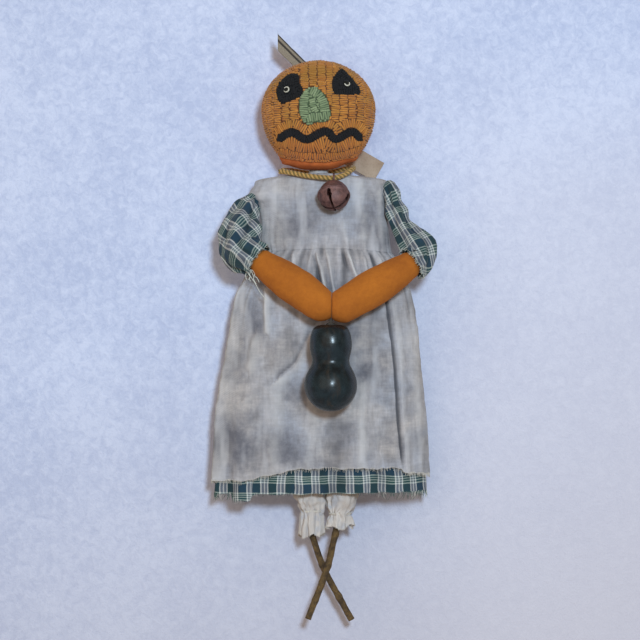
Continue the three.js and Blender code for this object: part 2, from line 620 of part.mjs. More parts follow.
// Arms: a stuffed upper arm inside the sleeve, and a felt forearm whose rounded root turns in the cuff.
const cuffRadius = CUFF_DIAMETER / 2;
const handRadius = HAND_DIAMETER / 2;
const lowLobe = GOURD_LOW_LOBE / 2;
const gourdY = -(SKIRT_MID_FRONT + FOLD_DEPTH + lowLobe + SEAT_GAP);
const handY = gourdY + HANDS_BEHIND_GOURD;
function handMiddle(side, z) {
  return at(HANDS_MEET_X + side * HAND_OVERLAP, handY, z);
}
function arm(name, side, armholeZ, puff, cuff, handZ) {
  const root = at(cuff[0], handY + CUFF_BEHIND_HANDS, cuff[1]);
  const along = handMiddle(side, handZ).sub(root);
  const reach = along.length();
  along.normalize();
  const forearmProfile = [
    ...arc(cuffRadius, -90, 0, 5),
    [THREE.MathUtils.lerp(CUFF_DIAMETER, FOREARM_DIAMETER, 0.75) / 2, reach * 0.3],
    [FOREARM_DIAMETER / 2, reach * 0.65],
    ...arc(handRadius, 0, 90, 5, reach),
  ];
  const forearm = solid(put(revolve(forearmProfile, LIMB_SIDES), root, along));
  const otherHand = new THREE.BoxGeometry(REACH, REACH, REACH);
  otherHand.translate(HANDS_MEET_X - (side * (REACH - SEAT_GAP)) / 2, handY, handZ);
  add(`${name}_forearm`, shape(forearm.subtract(solid(otherHand))), FELT);

  const armhole = bodiceAt(armholeZ);
  const outside = armhole.width / 2 + SEAT_GAP + SLEEVE_TOP_RADIUS;
  const top = at(armhole.x + side * outside, -(armhole.back + armhole.front) / 2, armholeZ);
  const stations = [
    { at: top, r: SLEEVE_TOP_RADIUS, deep: SLEEVE_TOP_RADIUS },
    ...puff.map(([x, y, z, r, deep]) => ({ at: at(x, y, z), r, deep })),
  ];
  const setBack = cuffRadius * Math.sin(radians(ELBOW_OPENS));
  const rim = new THREE.BoxGeometry(REACH, REACH, REACH).translate(0, 0, REACH / 2 - setBack);
  const rootSeat = solid(seat(CUFF_DIAMETER, root, along, LIMB_SIDES));
  const sleeve = solid(sack(stations, 0, SLEEVE_SIDES)).subtract(solid(sack(stations, CLOTH, SLEEVE_SIDES)));
  add(`${name}_sleeve`, shape(sleeve.subtract(solid(put(rim, root, along))).subtract(rootSeat)), PLAID);

  const half = UPPER_ARM_DIAMETER / 2;
  const armTop = SLEEVE_TOP_RADIUS - CLOTH - SEAT_GAP;
  const bones = [
    { at: top, r: armTop, deep: armTop },
    ...[...stations.slice(1).map((s) => s.at), root].map((spot) => ({ at: spot, r: half, deep: half })),
  ];
  add(`${name}_upper_arm`, shape(solid(sack(bones, 0, 10)).subtract(rootSeat)), STUFFING);
}
arm('right', -1, RIGHT_ARMHOLE_Z, RIGHT_PUFF, RIGHT_CUFF, RIGHT_HAND_Z);
arm('left', 1, LEFT_ARMHOLE_Z, LEFT_PUFF, LEFT_CUFF, LEFT_HAND_Z);

// Gourd: a dried two-lobed gourd, hollow and open at its mouth, hung by its stem under the right hand.
const topLobe = GOURD_TOP_LOBE / 2;
const stemTip = GOURD_STEM_TIP / 2;
const rightHand = handMiddle(-1, RIGHT_HAND_Z);
const underHand = Math.sqrt(
  handRadius ** 2 - (GOURD_X - stemTip - rightHand.x) ** 2 - (gourdY - handY) ** 2,
);
const gourdTop = RIGHT_HAND_Z - underHand - SEAT_GAP - GOURD_STEM_RISE;
function gourdSide(wall, fine) {
  const mouth = GOURD_MOUTH / 2;
  const shoulderAngle = THREE.MathUtils.radToDeg(Math.acos(mouth / (topLobe - wall)));
  const upper = arc(topLobe - wall, shoulderAngle, UPPER_LOBE_ENDS, fine, -topLobe);
  const lower = arc(lowLobe - wall, LOWER_LOBE_STARTS, -90, fine + 2, -topLobe - GOURD_LOBE_PITCH);
  const waistZ = (upper.at(-1)[1] + lower[0][1]) / 2;
  return [...upper, [GOURD_WAIST / 2 - wall, waistZ], ...lower];
}
const gourdProfile = [...gourdSide(0, 5), ...gourdSide(GOURD_WALL, 3).reverse()];
const gourd = new THREE.Group();
gourd.position.set(GOURD_X, gourdY, gourdTop);
doll.add(gourd);
add('gourd_bulb', revolve([...gourdProfile, gourdProfile[0]], 18), GOURD_VARNISH, gourd);
const plug = GOURD_MOUTH / 2 - SEAT_GAP;
const stemProfile = [
  [0, -2 * GOURD_WALL],
  [plug, -2 * GOURD_WALL],
  [plug, 0],
  [(plug + stemTip) / 2, GOURD_STEM_RISE * 0.2],
  [stemTip, GOURD_STEM_RISE * 0.5],
  [stemTip, GOURD_STEM_RISE],
  [0, GOURD_STEM_RISE],
];
add('gourd_stem', revolve(stemProfile, 14), TWIG_BARK, gourd);

// Collar cord round the neck, low in front where the bell hangs.
const collarPath = COLLAR.map(([x, y, z]) => at(x, y, z));
add('collar_cord', tube(collarPath, COLLAR_DIAMETER, 28), GOLD_CORD);

// Bell: two pressed halves with a cross slot in the lower one, a wire shank on the cord and a loose pellet.
const hangPoint = collarPath[4];
const bellRadius = BELL_DIAMETER / 2;
const shankDrop = SHANK_RADIUS - SHANK_WIRE / 2 - COLLAR_DIAMETER / 2 - SEAT_GAP;
const bellReach = shankDrop + SHANK_RADIUS + SHANK_WIRE / 2 + SEAT_GAP + bellRadius;
const bellForward = -hangPoint.y - bodiceFront(CHEST_DEPTH) - SEAT_GAP - CLOTH_GAP - BELL_RIM / 2;
const bellTip = Math.asin(-bellForward / bellReach);
const bell = new THREE.Group();
bell.position.copy(hangPoint);
bell.rotation.x = -bellTip;
doll.add(bell);
const bellMiddle = -bellReach;
function cup() {
  const inner = bellRadius - BELL_WALL;
  const rimRadius = BELL_RIM / 2;
  return [
    ...arc(bellRadius, 90, 12, 4),
    [rimRadius, BELL_RIM_HEIGHT / 2],
    [rimRadius, SEAT_GAP / 2],
    [inner, SEAT_GAP / 2],
    ...arc(inner, 12, 90, 4),
  ];
}
const lowerCup = () => solid(revolve(cup(), 20).rotateX(Math.PI));
let slotted = lowerCup();
const slotReach = bellRadius * BELL_SLOT_SHARE;
[0, 90].forEach((turn) => {
  const blade = new THREE.BoxGeometry(2 * slotReach, BELL_SLOT, bellRadius);
  const cut = [blade.translate(0, 0, -bellRadius)];
  [-1, 1].forEach((end) => {
    const drill = new THREE.CylinderGeometry(BELL_SLOT_END / 2, BELL_SLOT_END / 2, bellRadius, 12);
    cut.push(drill.rotateX(Math.PI / 2).translate(end * slotReach, 0, -bellRadius));
  });
  cut.forEach((tool) => {
    slotted = slotted.subtract(solid(tool.rotateZ(radians(turn + BELL_TURN))));
  });
});
add('bell_top', revolve(cup(), 20), RUST, bell).position.z = bellMiddle;
add('bell_bottom', shape(slotted), RUST, bell).position.z = bellMiddle;
const shankPath = Array.from({ length: 13 }, (_, i) => {
  const angle = radians(-75 + (330 * i) / 12);
  return at(0, SHANK_RADIUS * Math.cos(angle), SHANK_RADIUS * Math.sin(angle) - shankDrop);
});
add('bell_shank', tube(shankPath, SHANK_WIRE, 20, 6), RUST, bell);
const pelletRest = bellRadius - BELL_WALL - SEAT_GAP - PELLET_DIAMETER / 2;
const bellCentre = at(0, 0, bellMiddle).applyEuler(bell.rotation).add(hangPoint);
const pelletSide = revolve(arc(PELLET_DIAMETER / 2, -90, 90, 6), 12);
add('bell_pellet', put(pelletSide, bellCentre.clone().addScaledVector(UP, -pelletRest), UP), RUST);

// Paper tag, tucked behind the collar cord at the left of the neck.
const tagCard = new THREE.Shape();
const tagHalf = TAG_WIDTH / 2;
tagCard.moveTo(0, -tagHalf + TAG_CLIP);
tagCard.lineTo(TAG_CLIP, -tagHalf);
tagCard.lineTo(TAG_LENGTH, -tagHalf);
tagCard.lineTo(TAG_LENGTH, tagHalf);
tagCard.lineTo(TAG_CLIP, tagHalf);
tagCard.lineTo(0, tagHalf - TAG_CLIP);
tagCard.closePath();
tagCard.holes.push(new THREE.Path().absarc(TAG_CLIP, 0, TAG_HOLE / 2, 0, 2 * Math.PI, true));
const cardStock = { depth: TAG_PAPER, bevelEnabled: false, curveSegments: 8 };
const card = new THREE.ExtrudeGeometry(tagCard, cardStock);
card.rotateX(Math.PI / 2).rotateY(radians(TAG_DROOP)).translate(...TAG_START);
add('paper_tag', faceOut(card), PAPER);

// Legs: a soft pantaloon leg, gathered by a thread above its ruffle, with a twig set in it.
function leg(name, hip, levels, ankle, ruffles, twig, twigEndZ) {
  const y = -LEG_TO_WALL;
  const hipZ = TORSO_END_Z - SEAT_GAP - hip.r;
  const rows = [
    ...[75, 50, 25, 0].map((angle) => ({
      x: hip.x,
      z: hipZ + hip.r * Math.sin(radians(angle)),
      r: hip.r * Math.cos(radians(angle)),
    })),
    ...levels,
    ankle,
    ...ruffles,
  ];
  const rings = rows.map(({ x, z, r, ruffle = 0 }) => {
    const deep = r * (ruffle ? RUFFLE_DEPTH : LEG_DEPTH);
    const frill = (angle) => ruffle * Math.cos(RUFFLES * angle);
    return ring(at(x, y, z), at(0, 0, -1), r, deep, LEG_SIDES, frill);
  });
  const bent = twig.map(([x, behind, share]) => (
    at(x, y + behind, THREE.MathUtils.lerp(TWIG_TOP_Z, twigEndZ, share))
  ));
  const steps = 14;
  const hole = solid(tube(bent, TWIG_DIAMETER + 2 * SEAT_GAP, steps));
  const threadRadius = TIE_THREAD / 2;
  const tieRadius = ankle.r + SEAT_GAP + threadRadius;
  const thread = Array.from({ length: 7 }, (_, i) => {
    const turn = radians(60 * i);
    return [tieRadius + threadRadius * Math.cos(turn), threadRadius * Math.sin(turn)];
  });
  add(`${name}_pantaloon`, shape(solid(loft(rings)).subtract(hole)), PANTALOON);
  add(`${name}_ankle_tie`, revolve(thread, 14), TWINE).position.set(ankle.x, y, ankle.z);
  add(`${name}_twig`, tube(bent, TWIG_DIAMETER, steps), TWIG_BARK);
}
leg('right', RIGHT_HIP, RIGHT_LEG, RIGHT_ANKLE, RIGHT_RUFFLE, RIGHT_TWIG, RIGHT_TWIG_END_Z);
leg('left', LEFT_HIP, LEFT_LEG, LEFT_ANKLE, LEFT_RUFFLE, LEFT_TWIG, LEFT_TWIG_END_Z);

export default doll;
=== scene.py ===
import random
from math import asin, ceil, cos, degrees, exp, floor, hypot, pi, radians, sin, sqrt, tan, tau

import bpy
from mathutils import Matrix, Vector, noise


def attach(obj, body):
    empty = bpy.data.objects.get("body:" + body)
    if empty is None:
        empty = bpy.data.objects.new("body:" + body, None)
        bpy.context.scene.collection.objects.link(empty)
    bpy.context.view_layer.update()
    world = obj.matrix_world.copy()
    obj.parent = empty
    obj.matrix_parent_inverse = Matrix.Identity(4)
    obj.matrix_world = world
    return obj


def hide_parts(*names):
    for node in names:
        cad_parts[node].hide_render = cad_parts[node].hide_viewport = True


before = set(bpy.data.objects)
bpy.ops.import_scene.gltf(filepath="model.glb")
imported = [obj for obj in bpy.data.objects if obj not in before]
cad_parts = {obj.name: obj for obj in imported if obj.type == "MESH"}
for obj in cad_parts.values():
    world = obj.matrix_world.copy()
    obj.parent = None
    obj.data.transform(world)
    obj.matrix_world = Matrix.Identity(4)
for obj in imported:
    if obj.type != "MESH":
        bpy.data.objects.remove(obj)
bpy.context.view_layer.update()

MM = 0.001
UP = Vector((0, 0, 1))
BACK = Vector((0, 1, 0))
rng = random.Random(7)

# Camera: square to the wall, 544 mm of the doll's plane across the frame
FRAME_WIDTH = 0.544
CAMERA_AWAY = 2.0
CAMERA_X, CAMERA_Z = 0.0004, -0.1224
DOLL_PLANE_Y = -0.035
SENSOR_WIDTH = 36
camera = bpy.data.objects.new("camera", bpy.data.cameras.new("camera"))
camera.data.sensor_width = SENSOR_WIDTH
camera.data.lens = SENSOR_WIDTH * CAMERA_AWAY / FRAME_WIDTH
camera.location = (CAMERA_X, DOLL_PLANE_Y - CAMERA_AWAY, CAMERA_Z)
camera.rotation_euler = (pi / 2, 0, 0)
bpy.context.scene.collection.objects.link(camera)
bpy.context.scene.camera = camera
bpy.context.scene.view_settings.view_transform = "Standard"


# Materials
def srgb(r, g, b):
    def linear(v):
        v /= 255
        return v / 12.92 if v <= 0.04045 else ((v + 0.055) / 1.055) ** 2.4
    return (linear(r), linear(g), linear(b), 1)


class Shader:
    """A material with a Principled surface, and short ways to add nodes to it."""

    def __init__(self, name):
        self.material = bpy.data.materials.new(name)
        self.material.use_nodes = True
        self.tree = self.material.node_tree
        self.tree.nodes.clear()
        self.output = self.node("OutputMaterial")
        self.bsdf = self.node("BsdfPrincipled")
        self.feed(self.output.inputs[0], self.bsdf.outputs[0])
        self.place = self.node("TexCoord").outputs["Object"]

    def node(self, kind, inputs=None, **settings):
        made = self.tree.nodes.new("ShaderNode" + kind)
        for key, value in settings.items():
            setattr(made, key, value)
        for key, value in (inputs or {}).items():
            self.feed(made.inputs[key], value)
        return made

    def feed(self, socket, value):
        if isinstance(value, bpy.types.NodeSocket):
            self.tree.links.new(value, socket)
        else:
            socket.default_value = value

    def surface(self, bump, **values):
        """Sets the surface, with bump as (height, strength, distance in metres), and gives the material."""
        height, strength, distance = bump
        raised = self.node("Bump", {"Height": height, "Strength": strength, "Distance": distance})
        for key, value in {**values, "Normal": raised.outputs[0]}.items():
            self.feed(self.bsdf.inputs[key.replace("_", " ")], value)
        return self.material

    def uv(self):
        return self.node("UVMap", uv_map="cloth").outputs[0]

    def attribute(self, name):
        return self.node("Attribute", attribute_name=name).outputs["Fac"]

    def noise(self, scale, detail=3.0, rough=0.55, warp=0.0, over=None):
        made = self.node("TexNoise", {"Vector": self.place if over is None else over, "Scale": scale,
                                      "Detail": detail, "Roughness": rough, "Distortion": warp})
        return made.outputs["Fac"]

    def streaks(self, scale, detail=3.0, rough=0.55):
        """Noise with its own scale along each axis."""
        stretched = self.node("Mapping", {"Vector": self.place, "Scale": scale}).outputs[0]
        return self.noise(1.0, detail, rough, over=stretched)

    def pushed(self, vector, scale, detail, reach):
        """A vector moved about by noise, by up to reach along each axis."""
        push = self.node("TexNoise", {"Vector": self.place, "Scale": scale, "Detail": detail}).outputs["Color"]
        push = self.node("VectorMath", {0: push, 1: reach}, operation="MULTIPLY").outputs[0]
        return self.node("VectorMath", {0: vector, 1: push}, operation="ADD").outputs[0]

    def ramp(self, value, *stops, steps=False):
        made = self.node("ValToRGB", {"Fac": value})
        ramp = made.color_ramp
        ramp.interpolation = "CONSTANT" if steps else "LINEAR"
        while len(ramp.elements) < len(stops):
            ramp.elements.new(0.5)
        for element, (position, colour) in zip(ramp.elements, stops):
            element.position = position
            element.color = colour if isinstance(colour, tuple) else (colour, colour, colour, 1)
        return made.outputs[0]

    def mix(self, factor, a, b, blend="MIX"):
        made = self.node("Mix", {0: factor, 6: a, 7: b}, data_type="RGBA", blend_type=blend)
        return made.outputs[2]

    def tint(self, under, over, value, *stops):
        """One colour over another, as much as the stops give for a value."""
        return self.mix(self.ramp(value, *stops), under, over)

    def math(self, how, a, b=0.0, c=0.0):
        return self.node("Math", {0: a, 1: b, 2: c}, operation=how).outputs[0]

    def madd(self, a, b, c):
        return self.math("MULTIPLY_ADD", a, b, c)

    def split(self, vector):
        return self.node("SeparateXYZ", {"Vector": vector}).outputs

    def weave(self, u, v, pitch):
        """Height of a plain weave with the given thread pitch, over two lengths in metres."""
        waves = [self.math("SINE", self.math("MULTIPLY", length, tau / (2 * pitch))) for length in (u, v)]
        return self.madd(self.math("MULTIPLY", *waves), 0.5, 0.5)

    def spot(self, where, centre, size):
        """1 at a place in metres, falling to 0 at the given distance."""
        gap = self.node("VectorMath", {0: where, 1: centre}, operation="DISTANCE").outputs["Value"]
        return self.node("MapRange", {"Value": gap, "From Min": 0.0, "From Max": size, "To Min": 1.0,
                                      "To Max": 0.0}, interpolation_type="SMOOTHSTEP").outputs[0]


# Where the muslin is greyed, as (x, z, size, strength) in mm
STAINS = [
    (-74, -224, 34, 0.95), (-34, -230, 28, 0.7), (77, -226, 20, 0.5), (20, -218, 20, 0.35), (-70, -156, 30, 0.7),
    (-57, -118, 26, 0.6), (42, -166, 30, 0.5), (-13, -41, 30, 0.65), (42, -36, 24, 0.4), (5, -93, 24, 0.5),
    (-17, -190, 30, 0.3), (-40, -22, 20, 0.3), (24, -140, 26, 0.3), (54, -56, 18, 0.5),
]
STAIN_PUSH = 0.03
STAIN_SHIFT = 15  # mm: half the push, which moves every stain


def muslin():
    """Stained cloth; the fold value of a mesh gives painted shade in its folds and a painted highlight on their crests.
    """
    s = Shader("stained_muslin")
    x, y, z = s.split(s.place)
    flat = s.node("CombineXYZ", {"X": x, "Z": z}).outputs[0]
    pushed = s.pushed(flat, 30.0, 4.0, (STAIN_PUSH, 0.0, STAIN_PUSH))
    grey = 0.0
    for sx, sz, size, strength in STAINS:
        stain = s.spot(pushed, ((sx + STAIN_SHIFT) * MM, 0.0, (sz + STAIN_SHIFT) * MM), size * MM)
        grey = s.madd(stain, strength, grey)
    cloudy = s.ramp(s.noise(46.0, 8.0, 0.72), (0.38, 0.0), (0.7, 0.62))
    grey = s.math("MINIMUM", s.math("ADD", grey, cloudy), 0.95)
    cream = s.ramp(s.noise(22.0, 4.0), (0.38, srgb(176, 180, 192)), (0.62, srgb(197, 190, 187)))
    slub = s.streaks((500.0, 500.0, 90.0))
    cross = s.streaks((90.0, 90.0, 500.0))
    threads = s.math("MULTIPLY", s.math("ADD", slub, cross), 0.5)
    cream = s.tint(cream, srgb(146, 143, 144), threads, (0.38, 0.0), (0.62, 0.5))
    colour = s.mix(grey, cream, srgb(100, 101, 110))
    colour = s.tint(colour, srgb(204, 204, 209), s.streaks((70.0, 70.0, 14.0), 2.0), (0.55, 0.0), (0.72, 0.5))
    # Painted shade darkens the folds and a painted highlight pales their crests, by the mesh's fold height
    fold_shading = s.attribute("fold_shading")
    colour = s.tint(colour, srgb(58, 58, 64), fold_shading, (0.05, 0.8), (0.46, 0.0))
    colour = s.tint(colour, srgb(210, 208, 207), fold_shading, (0.56, 0.0), (0.95, 0.75))
    weave = s.weave(s.math("ADD", x, y), z, 0.0008)
    return s.surface((s.madd(slub, 0.6, s.madd(cross, 0.6, weave)), 0.5, 0.0003),
                     Base_Color=colour, Roughness=0.95, Sheen_Weight=0.1)


DARK = srgb(17, 58, 55)
NAVY = srgb(34, 52, 72)
PALE = srgb(208, 208, 205)
ROSE = srgb(116, 122, 132)
TEAL = srgb(46, 78, 76)
DULL = srgb(192, 202, 196)
# One repeat of the plaid's stripes, as (start in mm, colour): the pale banded warp, then the finer weft
WARP = [(0, DARK), (7.2, PALE), (8.3, ROSE), (10.3, PALE), (11.3, ROSE), (13.2, PALE), (14.3, DARK)]
WEFT = [(0, NAVY), (7.4, DULL), (8.4, TEAL), (9.7, DULL), (10.5, TEAL), (11.6, DULL), (12.4, TEAL), (13.4, DULL),
        (14.4, NAVY)]
REPEAT = 14.8


def plaid():
    """Homespun of two striped threads; the fold value of a mesh gives painted shade in its folds."""
    s = Shader("plaid_homespun")
    u, v, _ = s.split(s.pushed(s.uv(), 45.0, 2.0, (0.004, 0.004, 0.0)))
    sides = []
    for length, stripes in ((u, WARP), (v, WEFT)):
        share = s.math("FRACT", s.math("DIVIDE", length, REPEAT * MM))
        sides.append(s.ramp(share, *((at / REPEAT, colour) for at, colour in stripes), steps=True))
    weave = s.weave(u, v, 0.0007)
    cloth = s.mix(s.madd(weave, 0.3, 0.28), *sides)
    blue = s.ramp(s.noise(42.0, 2.0), (0.45, 0.0), (0.58, 0.7))
    cloth = s.mix(blue, cloth, srgb(26, 46, 78), "LIGHTEN")
    worn = s.ramp(s.noise(90.0, 4.0), (0.3, 0.85), (0.7, 1.15))
    cloth = s.mix(1.0, cloth, worn, "MULTIPLY")
    # Painted shade in the folds, by the mesh's fold height
    colour = s.tint(cloth, srgb(10, 22, 26), s.attribute("fold_shading"), (0.1, 0.7), (0.48, 0.0))
    return s.surface((weave, 0.5, 0.0003), Base_Color=colour, Roughness=0.95, Sheen_Weight=0.1)


def wool(name, dark, light, gap_shade, sheen=0.2, gold=None, red=None):
    """Hooked wool: each loop has its own tint, with fine fibres; gold clouds it and red warms the chin; painted shade
    darkens each loop's foot and the backing between loops.
    """
    s = Shader(name)
    fibre = s.noise(900.0, 3.0, 0.7)
    shade = s.madd(s.noise(60.0, 2.0), 0.4, s.math("MULTIPLY", s.attribute("tint"), 0.6))
    colour = s.mix(shade, dark, light)
    if gold:
        colour = s.tint(colour, gold, s.noise(48.0), (0.48, 0.0), (0.66, 0.6))
        colour = s.tint(colour, red, s.split(s.place)[2], (0.008, 0.55), (0.04, 0.0))
    colour = s.tint(colour, dark, fibre, (0.35, 0.35), (0.6, 0.0))
    # Painted shade: the loops' feet and the bare backing, where rise is low, take the darker gap colour
    colour = s.tint(gap_shade, colour, s.attribute("rise"), (0.1, 0.0), (0.85, 1.0))
    return s.surface((fibre, 0.5, 0.0004), Base_Color=colour, Roughness=0.95, Sheen_Weight=sheen)


def felt(name, dark, light):
    s = Shader(name)
    fuzz = s.noise(1400.0, 3.0, 0.75)
    matted = s.noise(260.0, 4.0, 0.65, 0.6)
    cloudy = s.madd(s.noise(35.0, 4.0), 0.6, s.math("MULTIPLY", matted, 0.4))
    colour = s.tint(dark, light, cloudy, (0.3, 0.0), (0.72, 1.0))
    colour = s.tint(colour, dark, fuzz, (0.3, 0.3), (0.5, 0.0))
    return s.surface((s.madd(matted, 1.5, fuzz), 0.45, 0.0005), Base_Color=colour, Roughness=0.93,
                     Sheen_Weight=0.3, Sheen_Tint=light)


def cotton():
    s = Shader("pantaloon_cotton")
    x, y, z = s.split(s.place)
    weave = s.weave(s.math("ADD", x, y), z, 0.0007)
    tea_and_shade = s.ramp(s.noise(40.0, 4.0), (0.3, srgb(184, 176, 171)), (0.7, srgb(216, 209, 203)))
    # Bluish-grey patches: painted shade for the crumples, laid at random over the cream
    tea_and_shade = s.tint(tea_and_shade, srgb(160, 168, 182), s.noise(95.0), (0.48, 0.0), (0.66, 0.6))
    slub = s.streaks((900.0, 900.0, 70.0), 2.0)
    colour = s.tint(tea_and_shade, srgb(162, 154, 148), slub, (0.45, 0.0), (0.8, 0.4))
    return s.surface((s.madd(slub, 0.6, weave), 0.5, 0.0003), Base_Color=colour, Roughness=0.95, Sheen_Weight=0.12)


def gourd_varnish():
    s = Shader("gourd_varnish")
    mottle = s.noise(70.0, 5.0, 0.65, 0.8)
    colour = s.tint(srgb(9, 17, 20), srgb(32, 46, 50), mottle, (0.35, 0.0), (0.7, 1.0))
    colour = s.tint(colour, srgb(52, 44, 36), s.streaks((160.0, 160.0, 26.0), 4.0, 0.6), (0.54, 0.0), (0.7, 0.7))
    worn = s.noise(420.0)
    return s.surface((s.madd(worn, 0.2, mottle), 0.35, 0.0006), Base_Color=colour,
                     Roughness=s.ramp(worn, (0.3, 0.2), (0.75, 0.36)), Specular_IOR_Level=0.3)


def rust():
    s = Shader("rusty_tin")
    patch = s.noise(190.0, 5.0, 0.65, 0.5)
    grain = s.noise(1300.0, 3.0, 0.7)
    colour = s.ramp(patch, (0.3, srgb(70, 48, 48)), (0.48, srgb(116, 84, 80)), (0.6, srgb(134, 98, 92)),
                    (0.75, srgb(122, 76, 60)))
    colour = s.tint(colour, srgb(46, 30, 30), grain, (0.3, 0.5), (0.55, 0.0))
    return s.surface((s.madd(patch, 0.6, grain), 0.4, 0.0004), Base_Color=colour, Metallic=0.45,
                     Roughness=s.ramp(patch, (0.3, 0.45), (0.7, 0.75)))


def bark(name, dark, light, groove, blotched=0.0):
    s = Shader(name)
    u, v, _ = s.split(s.uv())
    along = s.node("CombineXYZ", {"X": s.math("MULTIPLY", u, 14.0), "Y": v}).outputs[0]
    ridge = s.noise(groove, 4.0, 0.65, 0.4, along)
    fleck = s.noise(600.0, 3.0, 0.7)
    colour = s.tint(dark, light, ridge, (0.35, 0.0), (0.68, 1.0))
    colour = s.tint(colour, dark, s.noise(130.0, 4.0, 0.6), (0.42, 0.0), (0.62, blotched))
    colour = s.tint(colour, dark, fleck, (0.3, 0.45), (0.5, 0.0))
    return s.surface((s.madd(ridge, 1.5, fleck), 0.6, 0.0006), Base_Color=colour,
                     Roughness=s.ramp(fleck, (0.3, 0.7), (0.7, 0.9)))


def paper():
    s = Shader("tag_paper")
    pulp = s.noise(700.0, 4.0, 0.7)
    colour = s.tint(srgb(156, 135, 116), srgb(182, 162, 142), s.noise(70.0), (0.3, 0.0), (0.7, 1.0))
    colour = s.tint(colour, srgb(120, 96, 74), pulp, (0.3, 0.35), (0.5, 0.0))
    return s.surface((pulp, 0.25, 0.0002), Base_Color=colour, Roughness=0.9)


def strand(name, dark, light):
    s = Shader(name)
    fibre = s.noise(1100.0, 3.0, 0.7)
    colour = s.tint(dark, light, fibre, (0.3, 0.0), (0.65, 1.0))
    return s.surface((fibre, 0.5, 0.0004), Base_Color=colour, Roughness=0.9, Sheen_Weight=0.2)


def button_finish(name, dark, light):
    s = Shader(name)
    swirl = s.noise(500.0, 3.0, 0.6, 1.2)
    colour = s.tint(dark, light, swirl, (0.35, 0.0), (0.65, 1.0))
    return s.surface((swirl, 0.1, 0.0002), Base_Color=colour,
                     Roughness=s.ramp(swirl, (0.3, 0.35), (0.7, 0.5)), Specular_IOR_Level=0.3)


def plaster(name, low, high, painted_light=0.0):
    """Painted wall, clear from behind; low and high are its two tones, and the last argument gives its lower right
    painted light: a rosier, lighter tint.
    """
    s = Shader(name)
    flock = s.noise(150.0, 6.0, 0.72, 0.6)
    tone = s.madd(flock, 0.7, s.math("MULTIPLY", s.noise(9.0, 3.0, 0.5), 0.3))
    x, _, z = s.split(s.place)
    # Painted light: a rosier tint and a lighter patch towards the lower right
    corner = s.madd(x, 0.5, s.math("MULTIPLY", z, -1.0))
    colour = s.tint(s.ramp(tone, (0.4, low), (0.6, high)), srgb(196, 192, 201), corner, (0.05, 0.0), (0.5, painted_light))
    low_down = s.ramp(s.math("ADD", z, 0.2), (0.18, 1.0), (0.33, 0.0))
    right = s.math("MULTIPLY", s.ramp(x, (0.05, 0.0), (0.15, 0.4 * painted_light)), low_down)
    colour = s.mix(right, colour, srgb(222, 220, 232))
    s.surface((s.madd(flock, 2.0, s.noise(500.0, 2.0)), 0.4, 0.001), Base_Color=colour, Roughness=0.9)
    behind = s.node("NewGeometry").outputs["Backfacing"]
    clear = s.node("BsdfTransparent").outputs[0]
    shown = s.node("MixShader", {0: behind, 1: s.bsdf.outputs[0], 2: clear})
    s.feed(s.output.inputs[0], shown.outputs[0])
    return s.material


MUSLIN = muslin()
PLAID = plaid()
ORANGE_LOOPS = wool("wool_orange", srgb(158, 95, 34), srgb(208, 143, 62), srgb(92, 50, 18), gold=srgb(148, 112, 42),
                    red=srgb(172, 84, 42))
BLACK_LOOPS = wool("wool_black", srgb(6, 6, 8), srgb(22, 21, 26), srgb(4, 4, 5), 0.02)
GREEN_LOOPS = wool("wool_green", srgb(96, 116, 82), srgb(154, 170, 130), srgb(68, 84, 56))
PLAIN_WOOL = felt("wool_plain", srgb(152, 74, 30), srgb(196, 106, 48))
FELT = felt("arm_felt", srgb(152, 82, 14), srgb(188, 110, 26))
COTTON = cotton()
GOURD = gourd_varnish()
RUST = rust()
TWIG = bark("twig_bark", srgb(46, 32, 20), srgb(146, 116, 66), 500.0, 0.85)
WOOD = bark("split_wood", srgb(112, 102, 88), srgb(168, 156, 138), 700.0)
# A darker copy of the split wood, as painted shade on the stem; the gourd's stalk wears it too
SHADED_WOOD = bark("split_wood_painted_shade", srgb(40, 40, 42), srgb(86, 76, 62), 700.0)
PAPER = paper()
GOLD_PLY = strand("cord_gold", srgb(160, 122, 58), srgb(208, 168, 102))
OLIVE_PLY = strand("cord_olive", srgb(86, 70, 32), srgb(142, 118, 60))
THREAD = strand("cotton_thread", srgb(176, 170, 160), srgb(220, 214, 204))
PALE_THREAD = strand("frayed_pale", srgb(170, 176, 172), srgb(218, 218, 206))
GREEN_THREAD = strand("frayed_green", srgb(26, 62, 58), srgb(70, 104, 98))
BUTTON_DARK = button_finish("button_dark", srgb(8, 9, 8), srgb(28, 29, 26))
# Pale crescents on the eye buttons: a painted highlight
BUTTON_GLINT = button_finish("button_painted_glint", srgb(164, 162, 146), srgb(222, 218, 204))


# Mesh helpers, in mm
def piece(name, body, slot, materials, points, faces, uvs=None, values=None, groups=None, nodes=()):
    mesh = bpy.data.meshes.new(name)
    mesh.from_pydata([Vector(p) * MM for p in points], [], faces)
    mesh.shade_smooth()
    for material in materials:
        mesh.materials.append(material)
    if groups:
        mesh.polygons.foreach_set("material_index", groups)
    if uvs:
        layer = mesh.uv_layers.new(name="cloth")
        corners = [c for loop in mesh.loops for c in uvs[loop.vertex_index]]
        layer.data.foreach_set("uv", [c * MM for c in corners])
    for key, numbers in (values or {}).items():
        mesh.attributes.new(key, "FLOAT", "POINT").data.foreach_set("value", numbers)
    mesh.update()
    made = bpy.data.objects.new(name, mesh)
    bpy.context.scene.collection.objects.link(made)
    if nodes:
        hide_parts(*nodes)
    if body:
        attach(made, body)
    return made


def skin(rows):
    """Points and faces over closed rows of equal length."""
    count = len(rows[0])
    faces = []
    for r in range(len(rows) - 1):
        for i in range(count):
            j = (i + 1) % count
            faces.append((r * count + i, r * count + j, (r + 1) * count + j, (r + 1) * count + i))
    return [p for row in rows for p in row], faces


